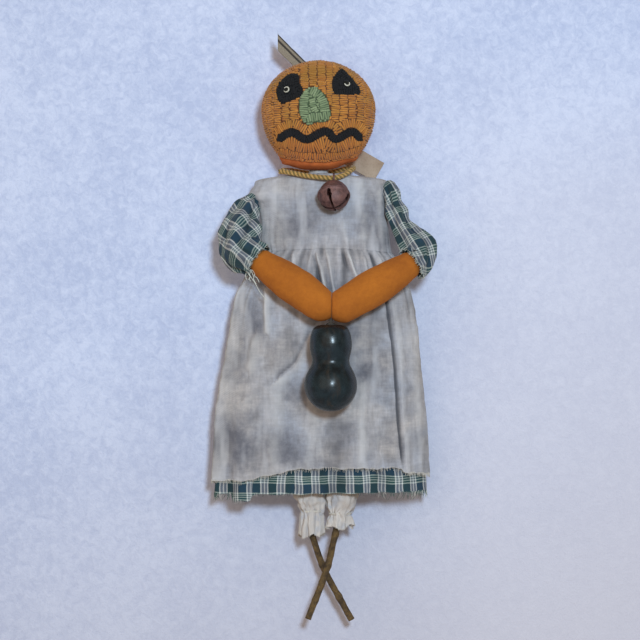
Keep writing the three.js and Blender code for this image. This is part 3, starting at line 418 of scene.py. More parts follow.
def skinned(name, body, slot, material, rows, cap=False, **more):
    """A piece of one material over closed rows, with its far end shut where cap is set."""
    points, faces = skin(rows)
    if cap:
        faces.append(tuple(range(len(points) - len(rows[0]), len(points))))
    return piece(name, body, slot, (material,), points, faces, **more)


def add_skin(points, faces, rows, ends=()):
    """Adds the skin of closed rows, and faces over its ends, to lists; gives the number of faces added."""
    more, quads = skin(rows)
    base = len(points)
    points += more
    new = [tuple(base + i for i in face) for face in [*quads, *ends]]
    faces += new
    return len(new)


def turns(count):
    return [tau * k / count for k in range(count)]


def spline(a, b, c, d, t):
    """A place on the smooth span from b to c, between the neighbours a and d."""
    return 0.5 * ((2 * b) + (c - a) * t + (2 * a - 5 * b + 4 * c - d) * t ** 2 + (3 * b - a - 3 * c + d) * t ** 3)


def catmull(points, steps, closed=False):
    """A smooth run of points through the given ones, with steps in each span."""
    points = [Vector(p) for p in points]
    count = len(points)
    out = []
    for i in range(count if closed else count - 1):
        if closed:
            a, b, c, d = (points[(i + k) % count] for k in (-1, 0, 1, 2))
        else:
            b, c = points[i], points[i + 1]
            a = points[i - 1] if i else b * 2 - c
            d = points[i + 2] if i + 2 < count else c * 2 - b
        out += [spline(a, b, c, d, k / steps) for k in range(steps)]
    if not closed:
        out.append(points[-1])
    return out


def flat_run(pairs, steps, closed=False):
    return catmull([(a, b, 0) for a, b in pairs], steps, closed)


def even(points, pitch):
    """Points spaced evenly along a run of points."""
    lengths = [0.0]
    for a, b in zip(points, points[1:]):
        lengths.append(lengths[-1] + (b - a).length)
    count = max(2, round(lengths[-1] / pitch) + 1)
    out = []
    k = 0
    for i in range(count):
        want = lengths[-1] * i / (count - 1)
        while k < len(points) - 2 and lengths[k + 1] < want:
            k += 1
        span = lengths[k + 1] - lengths[k]
        out.append(points[k].lerp(points[k + 1], (want - lengths[k]) / span if span else 0))
    return out


def tangents(points):
    last = len(points) - 1
    return [(points[min(i + 1, last)] - points[max(i - 1, 0)]).normalized() for i in range(last + 1)]


def frames(points):
    """Two directions square to a run of points, carried along it without twist."""
    ways = tangents(points)
    side = ways[0].orthogonal().normalized()
    out = []
    for way in ways:
        side = (side - way * side.dot(way)).normalized()
        out.append((side, way.cross(side)))
    return out


def run_length(points):
    return sum((b - a).length for a, b in zip(points, points[1:]))


def ease(x, a, b):
    t = max(0.0, min(1.0, (x - a) / (b - a)))
    return t * t * (3 - 2 * t)


def bell_curve(x, width):
    return exp(-((x / width) ** 2))


def rough(p, scale, amount, seed=0.0):
    return amount * noise.noise(Vector(p) * scale + Vector((seed, seed * 1.7, seed * 0.3)))


def tube_rows(points, radius, sides):
    return [[p + a * (radius * cos(t)) + b * (radius * sin(t)) for t in turns(sides)]
            for p, (a, b) in zip(points, frames(points))]


def ring_at(centre, axis, side, deep, count, fold=None):
    """Points round a centre, square to an axis, with a half-width, a half-depth and a swell by angle."""
    u = axis.cross(BACK).normalized()
    v = u.cross(axis).normalized()
    row = []
    for angle in turns(count):
        swell = fold(angle) if fold else 0.0
        row.append(centre + u * ((side + swell) * cos(angle)) + v * ((deep + swell) * sin(angle)))
    return row


def arc(radius, angles, rise=0.0):
    """Points (out, up) of a profile on an arc, from angles in degrees."""
    return [(radius * cos(radians(a)), rise + radius * sin(radians(a))) for a in angles]


# Stage: a pale wall behind the doll and a floor well below it
def stage_sheet(name, corners, material):
    mesh = bpy.data.meshes.new(name)
    mesh.from_pydata(corners, [], [(0, 1, 2, 3)])
    mesh.materials.append(material)
    made = bpy.data.objects.new(name, mesh)
    bpy.context.scene.collection.objects.link(made)
    made.visible_shadow = False
    made.visible_diffuse = False


FLOOR_Z = -0.46
WALL_Y = 0.004
FAR = 4
stage_sheet("wall", [(-FAR, WALL_Y, FLOOR_Z), (FAR, WALL_Y, FLOOR_Z), (FAR, WALL_Y, FAR), (-FAR, WALL_Y, FAR)],
            plaster("wall_plaster", srgb(184, 195, 225), srgb(207, 216, 241), 0.8))
stage_sheet("floor", [(-FAR, -FAR, FLOOR_Z), (FAR, -FAR, FLOOR_Z), (FAR, FAR, FLOOR_Z), (-FAR, FAR, FLOOR_Z)],
            plaster("floor_paint", srgb(204, 208, 220), srgb(212, 216, 227)))

LAMP_TARGET = Vector((0, 0, -0.12))


def lamp(name, place, size, watts, colour=(1, 1, 1)):
    data = bpy.data.lights.new(name, "AREA")
    data.shape = "DISK"
    data.size = size
    data.energy = watts
    data.color = colour
    made = bpy.data.objects.new(name, data)
    made.location = place
    made.rotation_euler = (LAMP_TARGET - Vector(place)).to_track_quat("-Z", "Y").to_euler()
    bpy.context.scene.collection.objects.link(made)


lamp("key", (0.26, -1.95, 0.28), 0.26, 28.6, (0.66, 0.846, 1))
lamp("fill", (-0.8, -1.9, 0.2), 2.2, 8.5, (1, 0.84, 0.7))
lamp("back", (-0.6, 1.6, 0.5), 1.5, 14)
world = bpy.data.worlds.new("studio")
world.use_nodes = True
world.node_tree.nodes["Background"].inputs["Color"].default_value = (1, 0.82, 0.66, 1)
world.node_tree.nodes["Background"].inputs["Strength"].default_value = 0.37
bpy.context.scene.world = world

# Collar cord, four plies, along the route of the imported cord
COLLAR = [
    (-34, -31, 4.2), (-24, -38, 2.6), (-10, -42.5, -0.4), (4, -44.4, -1.9), (12.1, -44.4, -2.1), (20, -40, 0.2),
    (26.5, -33, 4.8), (29, -22, 7.6), (26, -8.8, 8.6), (13, -7.2, 5.6), (0, -7.7, 3.9), (-12, -8, 4.4),
    (-25, -13, 6), (-32, -22, 5.6),
]
CORD_DIAMETER = 4.6
CORD_LAY = 7.2
CORD_STEP = 0.7
PLIES = 4
PLY_SIDES = 8


def collar():
    route = even(catmull(COLLAR, 10), CORD_STEP)
    ply = CORD_DIAMETER / 2 / (1 + sqrt(2))
    last = PLY_SIDES * (len(route) - 1)
    ends = [tuple(reversed(range(PLY_SIDES))), tuple(range(last, last + PLY_SIDES))]
    points, faces, groups = [], [], []
    for k in range(PLIES):
        middle = []
        for i, (p, (a, b)) in enumerate(zip(route, frames(route))):
            turn = tau * i * CORD_STEP / CORD_LAY + tau / PLIES * k
            middle.append(p + (a * cos(turn) + b * sin(turn)) * ply * sqrt(2))
        rows = [[p + Vector((rough(p, 0.9, 0.1), rough(p, 0.9, 0.1, 5), rough(p, 0.9, 0.1, 9))) for p in row]
                for row in tube_rows(middle, ply, PLY_SIDES)]
        groups += [k % 2] * add_skin(points, faces, rows, ends)
    cord = piece("collar_twist", "torso", "cord", (GOLD_PLY, OLIVE_PLY), points, faces, groups=groups,
                 nodes=("collar_cord",))
    run_length(route) * MM


collar()

# Head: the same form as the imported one, from its widest level, hooked in front of a leaning seam
HEAD = Vector((-0.9, -33, 55.3))
HEAD_HALF, HEAD_DEEP, CROWN, CHIN, FULL = 48.5, 29.0, 43.0, 50.0, 0.88
SEAM_SLOPE = tan(radians(18))
# The patches' outlines and the mouth's middle line, as (x, z)
RIGHT_EYE = [(-35.5, 16), (-32, 5), (-22, 7.2), (-15, 10), (-13.2, 16), (-16.2, 22), (-16.8, 28.5), (-23.1, 30.8),
             (-30.5, 26)]
LEFT_EYE = [(11.8, 23.8), (14, 12), (24, 12.2), (34.5, 13), (34, 19), (26.5, 29), (19.2, 34.5)]
NOSE = [(-5.1, 18.6), (-14.2, 11.6), (-16.4, -1.4), (-11.2, -12.7), (-0.7, -11.9), (9.7, -9.2), (8, 6.4), (1.8, 15.1)]
MOUTH = [(-32.8, -24.7), (-22.5, -20), (-10, -26), (5.5, -19.4), (15, -25.6), (28, -19.2), (35.2, -24)]
MOUTH_STROKE = 6.5
RIGHT_PUPIL = (-26.2, 15.5)
LEFT_PUPIL = (23.3, 20.7)


def head_terms(z):
    height, power = (CROWN, 1.0) if z > 0 else (CHIN, FULL)
    return max(2e-3, 1 - (z / height) ** 2), power, height


def head_front(x, z):
    rest, power, _ = head_terms(z)
    return Vector((x, -HEAD_DEEP * sqrt(max(0.0, rest ** power - (x / HEAD_HALF) ** 2)), z))


def head_slope(p):
    rest, power, height = head_terms(p.z)
    return Vector((p.x / HEAD_HALF ** 2, p.y / HEAD_DEEP ** 2, power * rest ** (power - 1) * p.z / height ** 2)) * 2


def head_normal(p):
    return head_slope(p).normalized()


def on_head(p):
    for _ in range(3):
        rest, power, _ = head_terms(p.z)
        gap = (p.x / HEAD_HALF) ** 2 + (p.y / HEAD_DEEP) ** 2 - rest ** power
        slope = head_slope(p)
        p = p - slope * (gap / slope.length_squared)
    return p


def head_polar(away, turn):
    """A point at an angle away from straight ahead, on the line of a turn round that direction."""
    height = CROWN if sin(turn) > 0 else CHIN
    p = Vector((HEAD_HALF * sin(away) * cos(turn), -HEAD_DEEP * cos(away), height * sin(away) * sin(turn)))
    if p.z < 0:
        full = max(0.02, 1 - (p.z / height) ** 2) ** ((FULL - 1) / 2)
        p.x *= full
        p.y *= full
    return p


def seam_depth(z):
    """How far back the seam lies at a height: leaning at the crown, and forward only under the chin."""
    return SEAM_SLOPE * z if z > 0 else -15 * ease(-z / CHIN, 0.7, 0.94)


SEAM = {}


def seam_away(turn):
    """The angle away from straight ahead at which the seam lies, found by halving."""
    key = round(turn, 4)
    if key not in SEAM:
        low, high = 0.3, 2.4
        for _ in range(22):
            middle = (low + high) / 2
            p = head_polar(middle, turn)
            low, high = (middle, high) if p.y < seam_depth(p.z) else (low, middle)
        SEAM[key] = low
    return SEAM[key]


def jaw(p):
    """Fills out a point of the head near the chin, where the stuffed bag is square."""
    share = min(-p.z / CHIN, 0.95)
    if share <= 0.5:
        return HEAD + p
    grow = 0.8 * ((share - 0.5) / 0.45) ** 5.5
    x = p.x * (1 + grow)
    lift = (2.4 if x < 0 else 4.6) * ease(abs(x), 10, 28) * ease(share, 0.8, 0.95)
    return HEAD + Vector((x, p.y * (1 + 0.5 * grow), p.z + lift))


def inside(outline, x, z):
    hit = False
    for (ax, az, _), (bx, bz, _) in zip(outline, outline[1:] + outline[:1]):
        if (az > z) != (bz > z) and x < (bx - ax) * (z - az) / (bz - az) + ax:
            hit = not hit
    return hit


def squares(outline, step=1):
    """Numbers (i, k) of the squares of a grid that an outline's box touches."""
    xs, zs = [p.x / step for p in outline], [p.y / step for p in outline]
    return [(i, k) for i in range(floor(min(xs)), ceil(max(xs))) for k in range(floor(min(zs)), ceil(max(zs)))]


def stroke_outline(points, stroke):
    run = flat_run(points, 8)
    ways = tangents(run)
    side = [Vector((-w.y, w.x, 0)) * (stroke / 2) for w in ways]
    tip = ways[-1] * (stroke / 2)
    tail = ways[0] * (stroke / 2)
    return ([p - s for p, s in zip(run, side)] + [run[-1] + tip]
            + [p + s for p, s in reversed(list(zip(run, side)))] + [run[0] - tail])


OUTLINES = {
    "right_eye": flat_run(RIGHT_EYE, 8, closed=True), "left_eye": flat_run(LEFT_EYE, 8, closed=True),
    "nose": flat_run(NOSE, 8, closed=True), "mouth": stroke_outline(MOUTH, MOUTH_STROKE),
}


class Hooking:
    """Wool loops pulled through a backing, each a short raised bar laid across its row."""
    WIDE = 1.9
    GAP = 1.3
    TALL = 1.5
    TIP = 1.2  # how far a loop's ends may come nearer to others than its sides
    PITCH = 1.9
    ROW_PITCH = 1.85
    SHORTEST = 1.4
    CELL = 3
    STEP = 0.4
    # A loop's form: (share of its length, height, width), and (side, height) round each section
    SECTIONS = [(0, -0.5, 0.85), (0.02, 0.8, 0.97), (0.1, 0.97, 1), (0.5, 1, 1), (0.9, 0.97, 1), (0.98, 0.8, 0.97),
                (1, -0.5, 0.85)]
    ARCH = [(-0.5, -0.4), (-0.44, 0.55), (-0.2, 0.93), (0.2, 0.93), (0.44, 0.55), (0.5, -0.4)]

    def __init__(self, allowed, lift):
        self.allowed = allowed
        self.lift = lift
        self.cells = {}
        self.points, self.faces, self.tint, self.rise = [], [], [], []

    def cell(self, p):
        return tuple(int(floor(v / self.CELL)) for v in p)

    def nearest(self, p, reach=1):
        best = None
        cx, cy, cz = self.cell(p)
        for i in range(cx - reach, cx + reach + 1):
            for j in range(cy - reach, cy + reach + 1):
                for k in range(cz - reach, cz + reach + 1):
                    for q, way in self.cells.get((i, j, k), ()):
                        gap = (q - p).length
                        if best is None or gap < best[0]:
                            best = (gap, way)
        return best

    def free(self, p):
        if not self.allowed(p):
            return False
        near = self.nearest(p)
        return near is None or near[0] > self.GAP

    def bar(self, middle, way, half):
        """Lays one bar, cut short where it would leave its area or meet another bar."""
        middle = on_head(middle)
        normal = head_normal(middle)
        way = (way - normal * way.dot(normal)).normalized()
        if not self.free(middle):
            return
        ends = []
        for sign in (-1, 1):
            reach = 0.0
            while reach < half and self.free(on_head(middle + way * (sign * (reach + self.STEP)))):
                reach += self.STEP
            ends.append(sign * min(reach, half))
        if ends[1] - ends[0] >= self.SHORTEST:
            self.loop(middle, way, *ends)

    def loop(self, middle, way, low, high):
        tint = rng.random()
        tall = self.TALL * rng.uniform(0.85, 1.15)
        wide = self.WIDE * rng.uniform(0.92, 1.1)
        skew = rng.uniform(-0.12, 0.12)
        base = len(self.points)
        for share, height, width in self.SECTIONS:
            p = on_head(middle + way * (low + (high - low) * share))
            normal = head_normal(p)
            across = way.cross(normal).normalized()
            foot = p + normal * (self.lift - self.TALL) + across * (skew * (share - 0.5) * 6)
            for side, up in self.ARCH:
                self.points.append(jaw(foot + across * (side * wide * width)
                                       + normal * (tall * (min(up, height) if height < 0 else up * height))))
                self.tint.append(tint)
                self.rise.append(max(0.0, min(up, height)))
        count = len(self.ARCH)
        for r in range(len(self.SECTIONS) - 1):
            for i in range(count - 1):
                a = base + r * count + i
                self.faces.append((a, a + 1, a + count + 1, a + count))
        tip = min(self.TIP, (high - low) / 2 - 0.1)
        steps = max(2, int((high - low) / 0.8))
        for k in range(steps + 1):
            q = on_head(middle + way * (low + tip + (high - low - 2 * tip) * k / steps))
            self.cells.setdefault(self.cell(q), []).append((q, way))

    def across(self, run, half, ragged):
        """Bars across a run of points on the head, uneven in lean and, by the ragged shares, in length."""
        for p, along in zip(run, tangents(run)):
            way = head_normal(p).cross(along)
            lean = rng.uniform(-0.1, 0.1)
            self.bar(p, way + along * lean, half * rng.uniform(*ragged))

    def row(self, points, half):
        """Bars across a row that follows points (x, z) on the face."""
        run = [head_front(p.x, p.y) for p in flat_run(points, 12)]
        self.across(even(run, self.ROW_PITCH), half, (0.78, 1.2))

    def rim(self, inward, half, stop=360):
        """Bars across a row that follows the seam, a number of degrees inside it."""
        run = [head_polar(seam_away(turn) - radians(inward), turn) for turn in map(radians, range(stop + 1))]
        self.across(even(run, self.PITCH), half, (0.92, 1.08))

    def border(self, outline, inset, half):
        """Bars across a row that follows an outline, inside it."""
        run = even([Vector(p) for p in outline] + [Vector(outline[0])], self.PITCH)[:-1]
        for p, along in zip(run, tangents(run)):
            inward = Vector((-along.y, along.x, 0))
            if not inside(outline, p.x + inward.x * 0.3, p.y + inward.y * 0.3):
                inward = -inward
            q = p + inward * inset
            self.bar(head_front(q.x, q.y), Vector((inward.x, 0, inward.y)), half * rng.uniform(0.92, 1.08))

    def fill(self, places, half=3.0):
        """Bars wherever there is still room, laid like the nearest ones."""
        for p in places:
            if self.free(p):
                near = self.nearest(p, 3)
                self.bar(p, near[1] if near else Vector((1, 0, 0)), half)

    def build(self, name, slot, material, node, backing):
        points, faces = backing
        base = len(points)
        every = [jaw(p) for p in points] + self.points
        faces = list(faces) + [tuple(base + i for i in face) for face in self.faces]
        # The backing gets rise 0, so it takes the wool's painted gap shade
        zeros = [0.0] * base
        piece(name + "_hooking", "head", slot, (material,), every, faces,
              values={"tint": zeros + self.tint, "rise": zeros + self.rise}, nodes=(node,))


def face_places():
    """Places all over the face, in a random order."""
    places = []
    for row in range(1, 60):
        away = radians(2 * row)
        for turn in map(radians, range(0, 360, 2 if row > 20 else 4)):
            if away < seam_away(turn):
                places.append(head_polar(away, turn))
    rng.shuffle(places)
    return places


def sheet_over(cells, place):
    """Points and faces of a sheet over the squares (i, k) of a grid, with its corners placed by a function."""
    index, points, faces = {}, [], []

    def corner(i, k):
        if (i, k) not in index:
            index[i, k] = len(points)
            points.append(place(i, k))
        return index[i, k]

    for i, k in cells:
        faces.append((corner(i, k), corner(i + 1, k), corner(i + 1, k + 1), corner(i, k + 1)))
    return points, faces


PATCH_SQUARE = 1.5


def patch_backing(outline, drop=0.6):
    """A small-squared sheet under a patch, on the face."""
    def place(i, k):
        p = head_front(i * PATCH_SQUARE, k * PATCH_SQUARE)
        return p - head_normal(p) * drop

    return sheet_over([(i, k) for i, k in squares(outline, PATCH_SQUARE)
                       if inside(outline, (i + 0.5) * PATCH_SQUARE, (k + 0.5) * PATCH_SQUARE)], place)


def offset_run(points, distance):
    run = flat_run(points, 4)
    return [(p.x - w.y * distance, p.y + w.x * distance) for p, w in zip(run, tangents(run))]


# Rows of loops on the face, as (half the loops' length, points of the row), in the order that they are hooked
FACE_ROWS = [
    (3.7, offset_run(MOUTH, 7.0)),
    (3.4, [(-32, -35), (-18, -38.8), (-6, -40), (4, -40.3), (14, -39.8), (24, -37.6), (35, -33)]),
    (7.0, [(-36, -29.5), (-22, -29), (-10, -32.4), (5, -29.5), (15, -32), (27, -27.8), (38, -28)]),
    (3.5, [(14.3, 11), (14.5, 0), (13.6, -14)]),
    (3.5, [(21.2, 11), (21.5, -2), (20.6, -11)]),
    (3.5, [(28.2, 11), (28.6, -2), (28.4, -13)]),
    (3.5, [(35.4, 11), (36, -2), (34.6, -15)]),
    (3.6, [(-20.6, 5), (-20.6, -10)]),
    (3.6, [(-28, 3), (-27.6, -11)]),
    (3.5, [(-35, 5), (-34.6, -16)]),
    (3.5, [(-12.4, 38), (-11.6, 18)]),
    (3.5, [(-5, 41), (-4.6, 20)]),
    (3.5, [(2.2, 41.5), (3, 17)]),
    (3.3, [(8.8, 40), (9.6, 24), (10.6, 8)]),
    (3.5, [(-41.8, 18), (-42.4, 0), (-39.6, -18)]),
    (3.5, [(42.6, 20), (43, 2), (40.6, -16)]),
]
RIM_HALF = 3.7
# Each patch's slot, material and rows
PATCHES = {
    "right_eye": ("wool_black", BLACK_LOOPS,
                  [(3.6, [(-34, 23), (-14, 23)]), (3.6, [(-34, 15.5), (-13, 15.5)]), (3.4, [(-33, 8.5), (-18, 8.5)])]),
    "left_eye": ("wool_black", BLACK_LOOPS,
                 [(3.6, [(12.5, 15.6), (34, 16.4)]), (3.6, [(12.5, 23), (30, 23)]), (3.6, [(16, 30.5), (24, 30.5)])]),
    "nose": ("wool_green", GREEN_LOOPS,
             [(3.8, [(-12, 12.6), (-12.6, -8)]), (3.9, [(-9, -8.4), (8, -6)]),
              (3.9, [(-6, 14.6), (0, 11), (4.6, 4), (6, -2)]), (3.0, [(-5.4, 7), (-4, 0), (-2, -3)])]),
    "mouth": ("wool_black", BLACK_LOOPS, [(3.2, MOUTH)]),
}


def hooked_face():
    def open_face(p):
        in_front = p.y < seam_depth(p.z) - 0.3
        return in_front and not any(inside(o, p.x, p.z) for o in OUTLINES.values())

    face = Hooking(open_face, 0.4)
    for half, points in FACE_ROWS:
        face.row(points, half)
    face.rim(7, RIM_HALF)
    face.rim(21, RIM_HALF)
    face.rim(35, RIM_HALF, 180)
    face.fill(face_places())
    rows = []
    for r in range(25):
        ring = [head_polar(seam_away(turn) * (r + 0.02) / 24.02 if r < 24 else seam_away(turn), turn)
                for turn in turns(96)]
        rows.append([p - head_normal(p) * 1.2 for p in ring])
    face.build("face", "wool_orange", ORANGE_LOOPS, "face_panel", skin(rows))


def hooked_patch(name, slot, material, lay):
    outline = OUTLINES[name]
    patch = Hooking(lambda p: p.y < 0 and inside(outline, p.x, p.z), 1.0)
    if name.endswith("eye"):
        patch.border(outline, 2.1, 2.1)
    for half, points in lay:
        patch.row(points, half)
    patch.fill([head_front(x + rng.uniform(-0.3, 0.3), z + rng.uniform(-0.3, 0.3)) for x, z in squares(outline)])
    patch.build(name, slot, material, name + "_patch", patch_backing(outline))


hooked_face()
for patch_name, told in PATCHES.items():
    hooked_patch(patch_name, *told)


def head_back():
    """The plain back, puckered along the seam and rolled under at its edge."""
    rows = []
    for share in [r / 39 for r in range(40)]:
        ring = []
        roll = -1.4 * bell_curve(share, 0.018)
        for turn in turns(128):
            edge = seam_away(turn)
            p = head_polar(edge + (pi - 0.001 - edge) * share, turn)
            pucker = 0.5 * sin(turn * 46) * exp(-share * 14)
            p = p + head_normal(p) * (pucker + roll - 0.3 + rough(p, 0.07, 0.8) + rough(p, 0.25, 0.25))
            ring.append(jaw(p))
        rows.append(ring)
    skinned("head_back_wool", "head", "wool_plain", PLAIN_WOOL, rows, nodes=("head_back", "head_stuffing"))


head_back()

# An eye button's dome, as (radius, height), and the divisions of its crescent, a painted highlight
BUTTON_PROFILE = [(3.2, -0.8), (3.2, 0.5), (3.0, 0.9), (2.5, 1.15), (1.6, 1.35), (0.8, 1.45), (0.02, 1.5)]
CRESCENT_STEPS = 24
CRESCENT_SIDES = 10


def eye_button(side, pupil, start, stop):
    """A small domed button with a raised pale crescent between two angles, standing in for the glint on a glossy
    button: a painted highlight.
    """
    middle = head_front(*pupil)
    normal = head_normal(middle)
    across = normal.cross(UP).normalized() * -1
    up = across.cross(normal) * -1
    centre = HEAD + middle + normal * 1.0
    points, faces = [], []
    groups = [0] * add_skin(points, faces, [
        [centre + (across * cos(t) + up * sin(t)) * radius + normal * height for t in turns(32)]
        for radius, height in BUTTON_PROFILE])
    rows = []
    for share in [i / CRESCENT_STEPS for i in range(CRESCENT_STEPS + 1)]:
        turn = radians(start + (stop - start) * share)
        out = across * cos(turn) + up * sin(turn)
        thick = 0.6 * sin(pi * (0.08 + 0.84 * share)) ** 0.6
        rows.append([centre + out * 2.25 + normal * 1.2 + (out * cos(t) * thick + normal * sin(t) * 0.45)
                     for t in turns(CRESCENT_SIDES)])
    last = CRESCENT_SIDES * CRESCENT_STEPS
    ends = [tuple(range(CRESCENT_SIDES)), tuple(range(last, last + CRESCENT_SIDES))]
    groups += [1] * add_skin(points, faces, rows, ends)
    piece(side + "_eye_bead", "head", "eye_button", (BUTTON_DARK, BUTTON_GLINT), points, faces, groups=groups,
          nodes=(side + "_eye_button",))


eye_button("right", RIGHT_PUPIL, -150, 150)
eye_button("left", LEFT_PUPIL, -170, 20)

STEM_FOOT = HEAD + Vector((-16.5, 0, 40.4))
STEM_LEAN = radians(45)
STEM_LENGTH = 25
STEM_HALF = 4.85
STEM_SUNK = 12
STEM_STEPS = 30
# The stick's section, as (across, back), and which of its sides are painted in shade
STEM_SECTION = [(-4.85, -3.25), (-3.0, -3.3), (0.2, -3.25), (0.7, -2.7), (1.3, -2.3), (1.9, -2.9), (3.7, -3.2),
                (4.85, -2.7), (4.85, -1.2), (4.85, 1.0), (3.2, 2.4), (1.0, 3.1), (-1.6, 3.0), (-4.85, 2.3), (-4.9, 0),
                (-4.85, -1.6)]
SHADED_SIDES = (2, 3, 4, 6, 7)


def stem():
    """A split stick: a broad face below, a narrow one above painted in shade, cut upright at its end."""
    way = Vector((-sin(STEM_LEAN), 0, cos(STEM_LEAN)))
    wide = Vector((cos(STEM_LEAN), 0, sin(STEM_LEAN)))
    cut_x = STEM_FOOT.x - STEM_LENGTH * sin(STEM_LEAN) - 0.4
    rows, uvs = [], []
    for i in range(STEM_STEPS + 1):
        row = []
        for k, (across, back) in enumerate(STEM_SECTION):
            reach = STEM_LENGTH + STEM_HALF + across
            along = -STEM_SUNK + (reach + STEM_SUNK) * i / STEM_STEPS
            p = STEM_FOOT + way * along + wide * across + BACK * back
            jitter = rough((across * 2, back * 2, along * 0.12), 1.0, 0.35, 3)
            p = p + (wide * across + BACK * back).normalized() * jitter
            p.x = max(p.x, cut_x)
            row.append(p)
            uvs.append((k * 2.2, along))
        rows.append(row)
    points, faces = skin(rows)
    count = len(STEM_SECTION)
    # Shaded sides take the darker copy of the wood: painted shade
    groups = [1 if i % count in SHADED_SIDES else 0 for i in range(len(faces))] + [0]
    faces.append(tuple(range(len(points) - count, len(points))))
    made = piece("stem_stick", "head", "split_wood", (WOOD, SHADED_WOOD), points, faces, uvs=uvs, groups=groups,
                 nodes=("stem",))
    bevel = made.modifiers.new("edge", "BEVEL")
    bevel.width = 0.0004
    bevel.segments = 2


stem()

# Dress, from levels (z, x, width, back, front)
NECKLINE = (2, -0.9, 44, 9.5, 36.5)
CHEST = (-20, 2.5, 104, 6, 40)
WAIST = (-62, 6, 110, 6, 43)
SKIRT_TOP = (-105, 2.7, 152, -2, 46)
SKIRT_MID = (-190, 0.6, 178, -3, 49)
HEM = (-252, 0.6, 184, -3, 51)
WAIST_Z, HEM_Z = WAIST[0], HEM[0]
NECK = Vector((-0.9, -23, 0))
APRON_INSET = 0.2
PLAID_INSET = 2.2


def between(upper, lower, share, bulge=0.0):
    """A level between two, widened by a bulge."""
    mixed = [a + (b - a) * share for a, b in zip(upper, lower)]
    mixed[2] += bulge
    return tuple(mixed)


def smooth_levels(levels, steps):
    """Levels along a smooth run through the given ones, in the full precision that steep folds need."""
    out = []
    for i in range(len(levels) - 1):
        b, c = levels[i], levels[i + 1]
        a = levels[i - 1] if i else [2 * m - n for m, n in zip(b, c)]
        d = levels[i + 2] if i + 2 < len(levels) else [2 * n - m for m, n in zip(b, c)]
        out += [[spline(*four, k / steps) for four in zip(a, b, c, d)] for k in range(steps)]
    return out + [levels[-1]]


def dress_point(level, inset, angle, fold):
    z, x, width, back, front = level
    p = Vector((x + (width / 2 - inset + fold) * cos(angle),
                -(back + front) / 2 + ((front - back) / 2 - inset + fold) * sin(angle), z))
    p.y = min(p.y, -inset)
    return p


def waist_bow(p):
    """How far the waist seam lies below its level, at the sides and with small unevenness."""
    return 3.0 * ((p.x - WAIST[1]) / 55) ** 2 - rough((p.x, p.y, 0), 0.12, 0.7, 6)


def waist_gather(angle):
    """Gathers at the waist seam, shared by the bodice and the skirt."""
    front = bell_curve(degrees(angle) - 268, 26)
    fine = sin(angle * 34 + 2 * sin(angle * 5)) + 0.5 * sin(angle * 59 + 1.3 * sin(angle * 7))
    return (0.4 + 0.5 * front) * fine


# Soft folds on the bodice front: route (x, z), height, width, and how steep the near side is
TUCKS = [
    ([(-50, -16), (-44, -60)], 1.3, 5.0, 0.7), ([(-34, -10), (-30, -60)], 1.0, 7.0, 0.8),
    ([(-6, -24), (-12, -60)], 0.9, 6.0, 0.7), ([(34, -8), (36, -60)], 1.1, 6.0, 0.7),
    ([(50, -14), (52, -60)], 1.4, 5.0, 0.6), ([(20, -40), (22, -61)], 1.0, 4.0, 0.7),
]
GROOVE_ASIDE = 2.2
FINEST_FOLD = 0.2


def crease(x, z, run, height, width, sharp, groove=0.0):
    """A fold along a run of (x, z) points, steeper on its right side, with a groove there."""
    best = None
    for (ax, az), (bx, bz) in zip(run, run[1:]):
        dx, dz = bx - ax, bz - az
        t = max(0.0, min(1.0, ((x - ax) * dx + (z - az) * dz) / (dx * dx + dz * dz)))
        gx, gz = x - ax - dx * t, z - az - dz * t
        gap = hypot(gx, gz)
        if best is None or gap < best[0]:
            best = (gap, gx * -dz + gz * dx <= 0)
    gap, near = best
    up = height * bell_curve(gap, width * (sharp if near else 1))
    if groove:
        aside = gap - GROOVE_ASIDE if near else gap + GROOVE_ASIDE
        up -= groove * bell_curve(aside, 1.3 if sharp < FINEST_FOLD else 2.0) * ease(z, -254, -236)
    return up


# Fold height as a 0 to 1 value for the painted shade in folds and the painted highlight on crests; grooves darken most
def fold_shading_of(height):
    return max(0.0, min(1.0, 0.5 + height / (7 if height > 0 else 5)))


# Levels from the neckline over the shoulders to the waist
BODICE = [NECKLINE, (-2.5, 1.5, 107, 8.25, 37.75), (-8, -0.8, 112, 7.5, 38.5), (-14, -3.6, 113.6, 6.8, 39.2),
          (-18.5, -2.8, 112.6, 6.4, 39.6), (-23, 0.6, 107.6, 6, 40.2), (-32, 3.2, 106, 6, 41),
          between(CHEST, WAIST, 0.65), WAIST]
BODICE_POINTS = 280
BODICE_FRONT_Y = -22
BELL_DENT = (8, -20)  # x and z where the bell presses the bodice


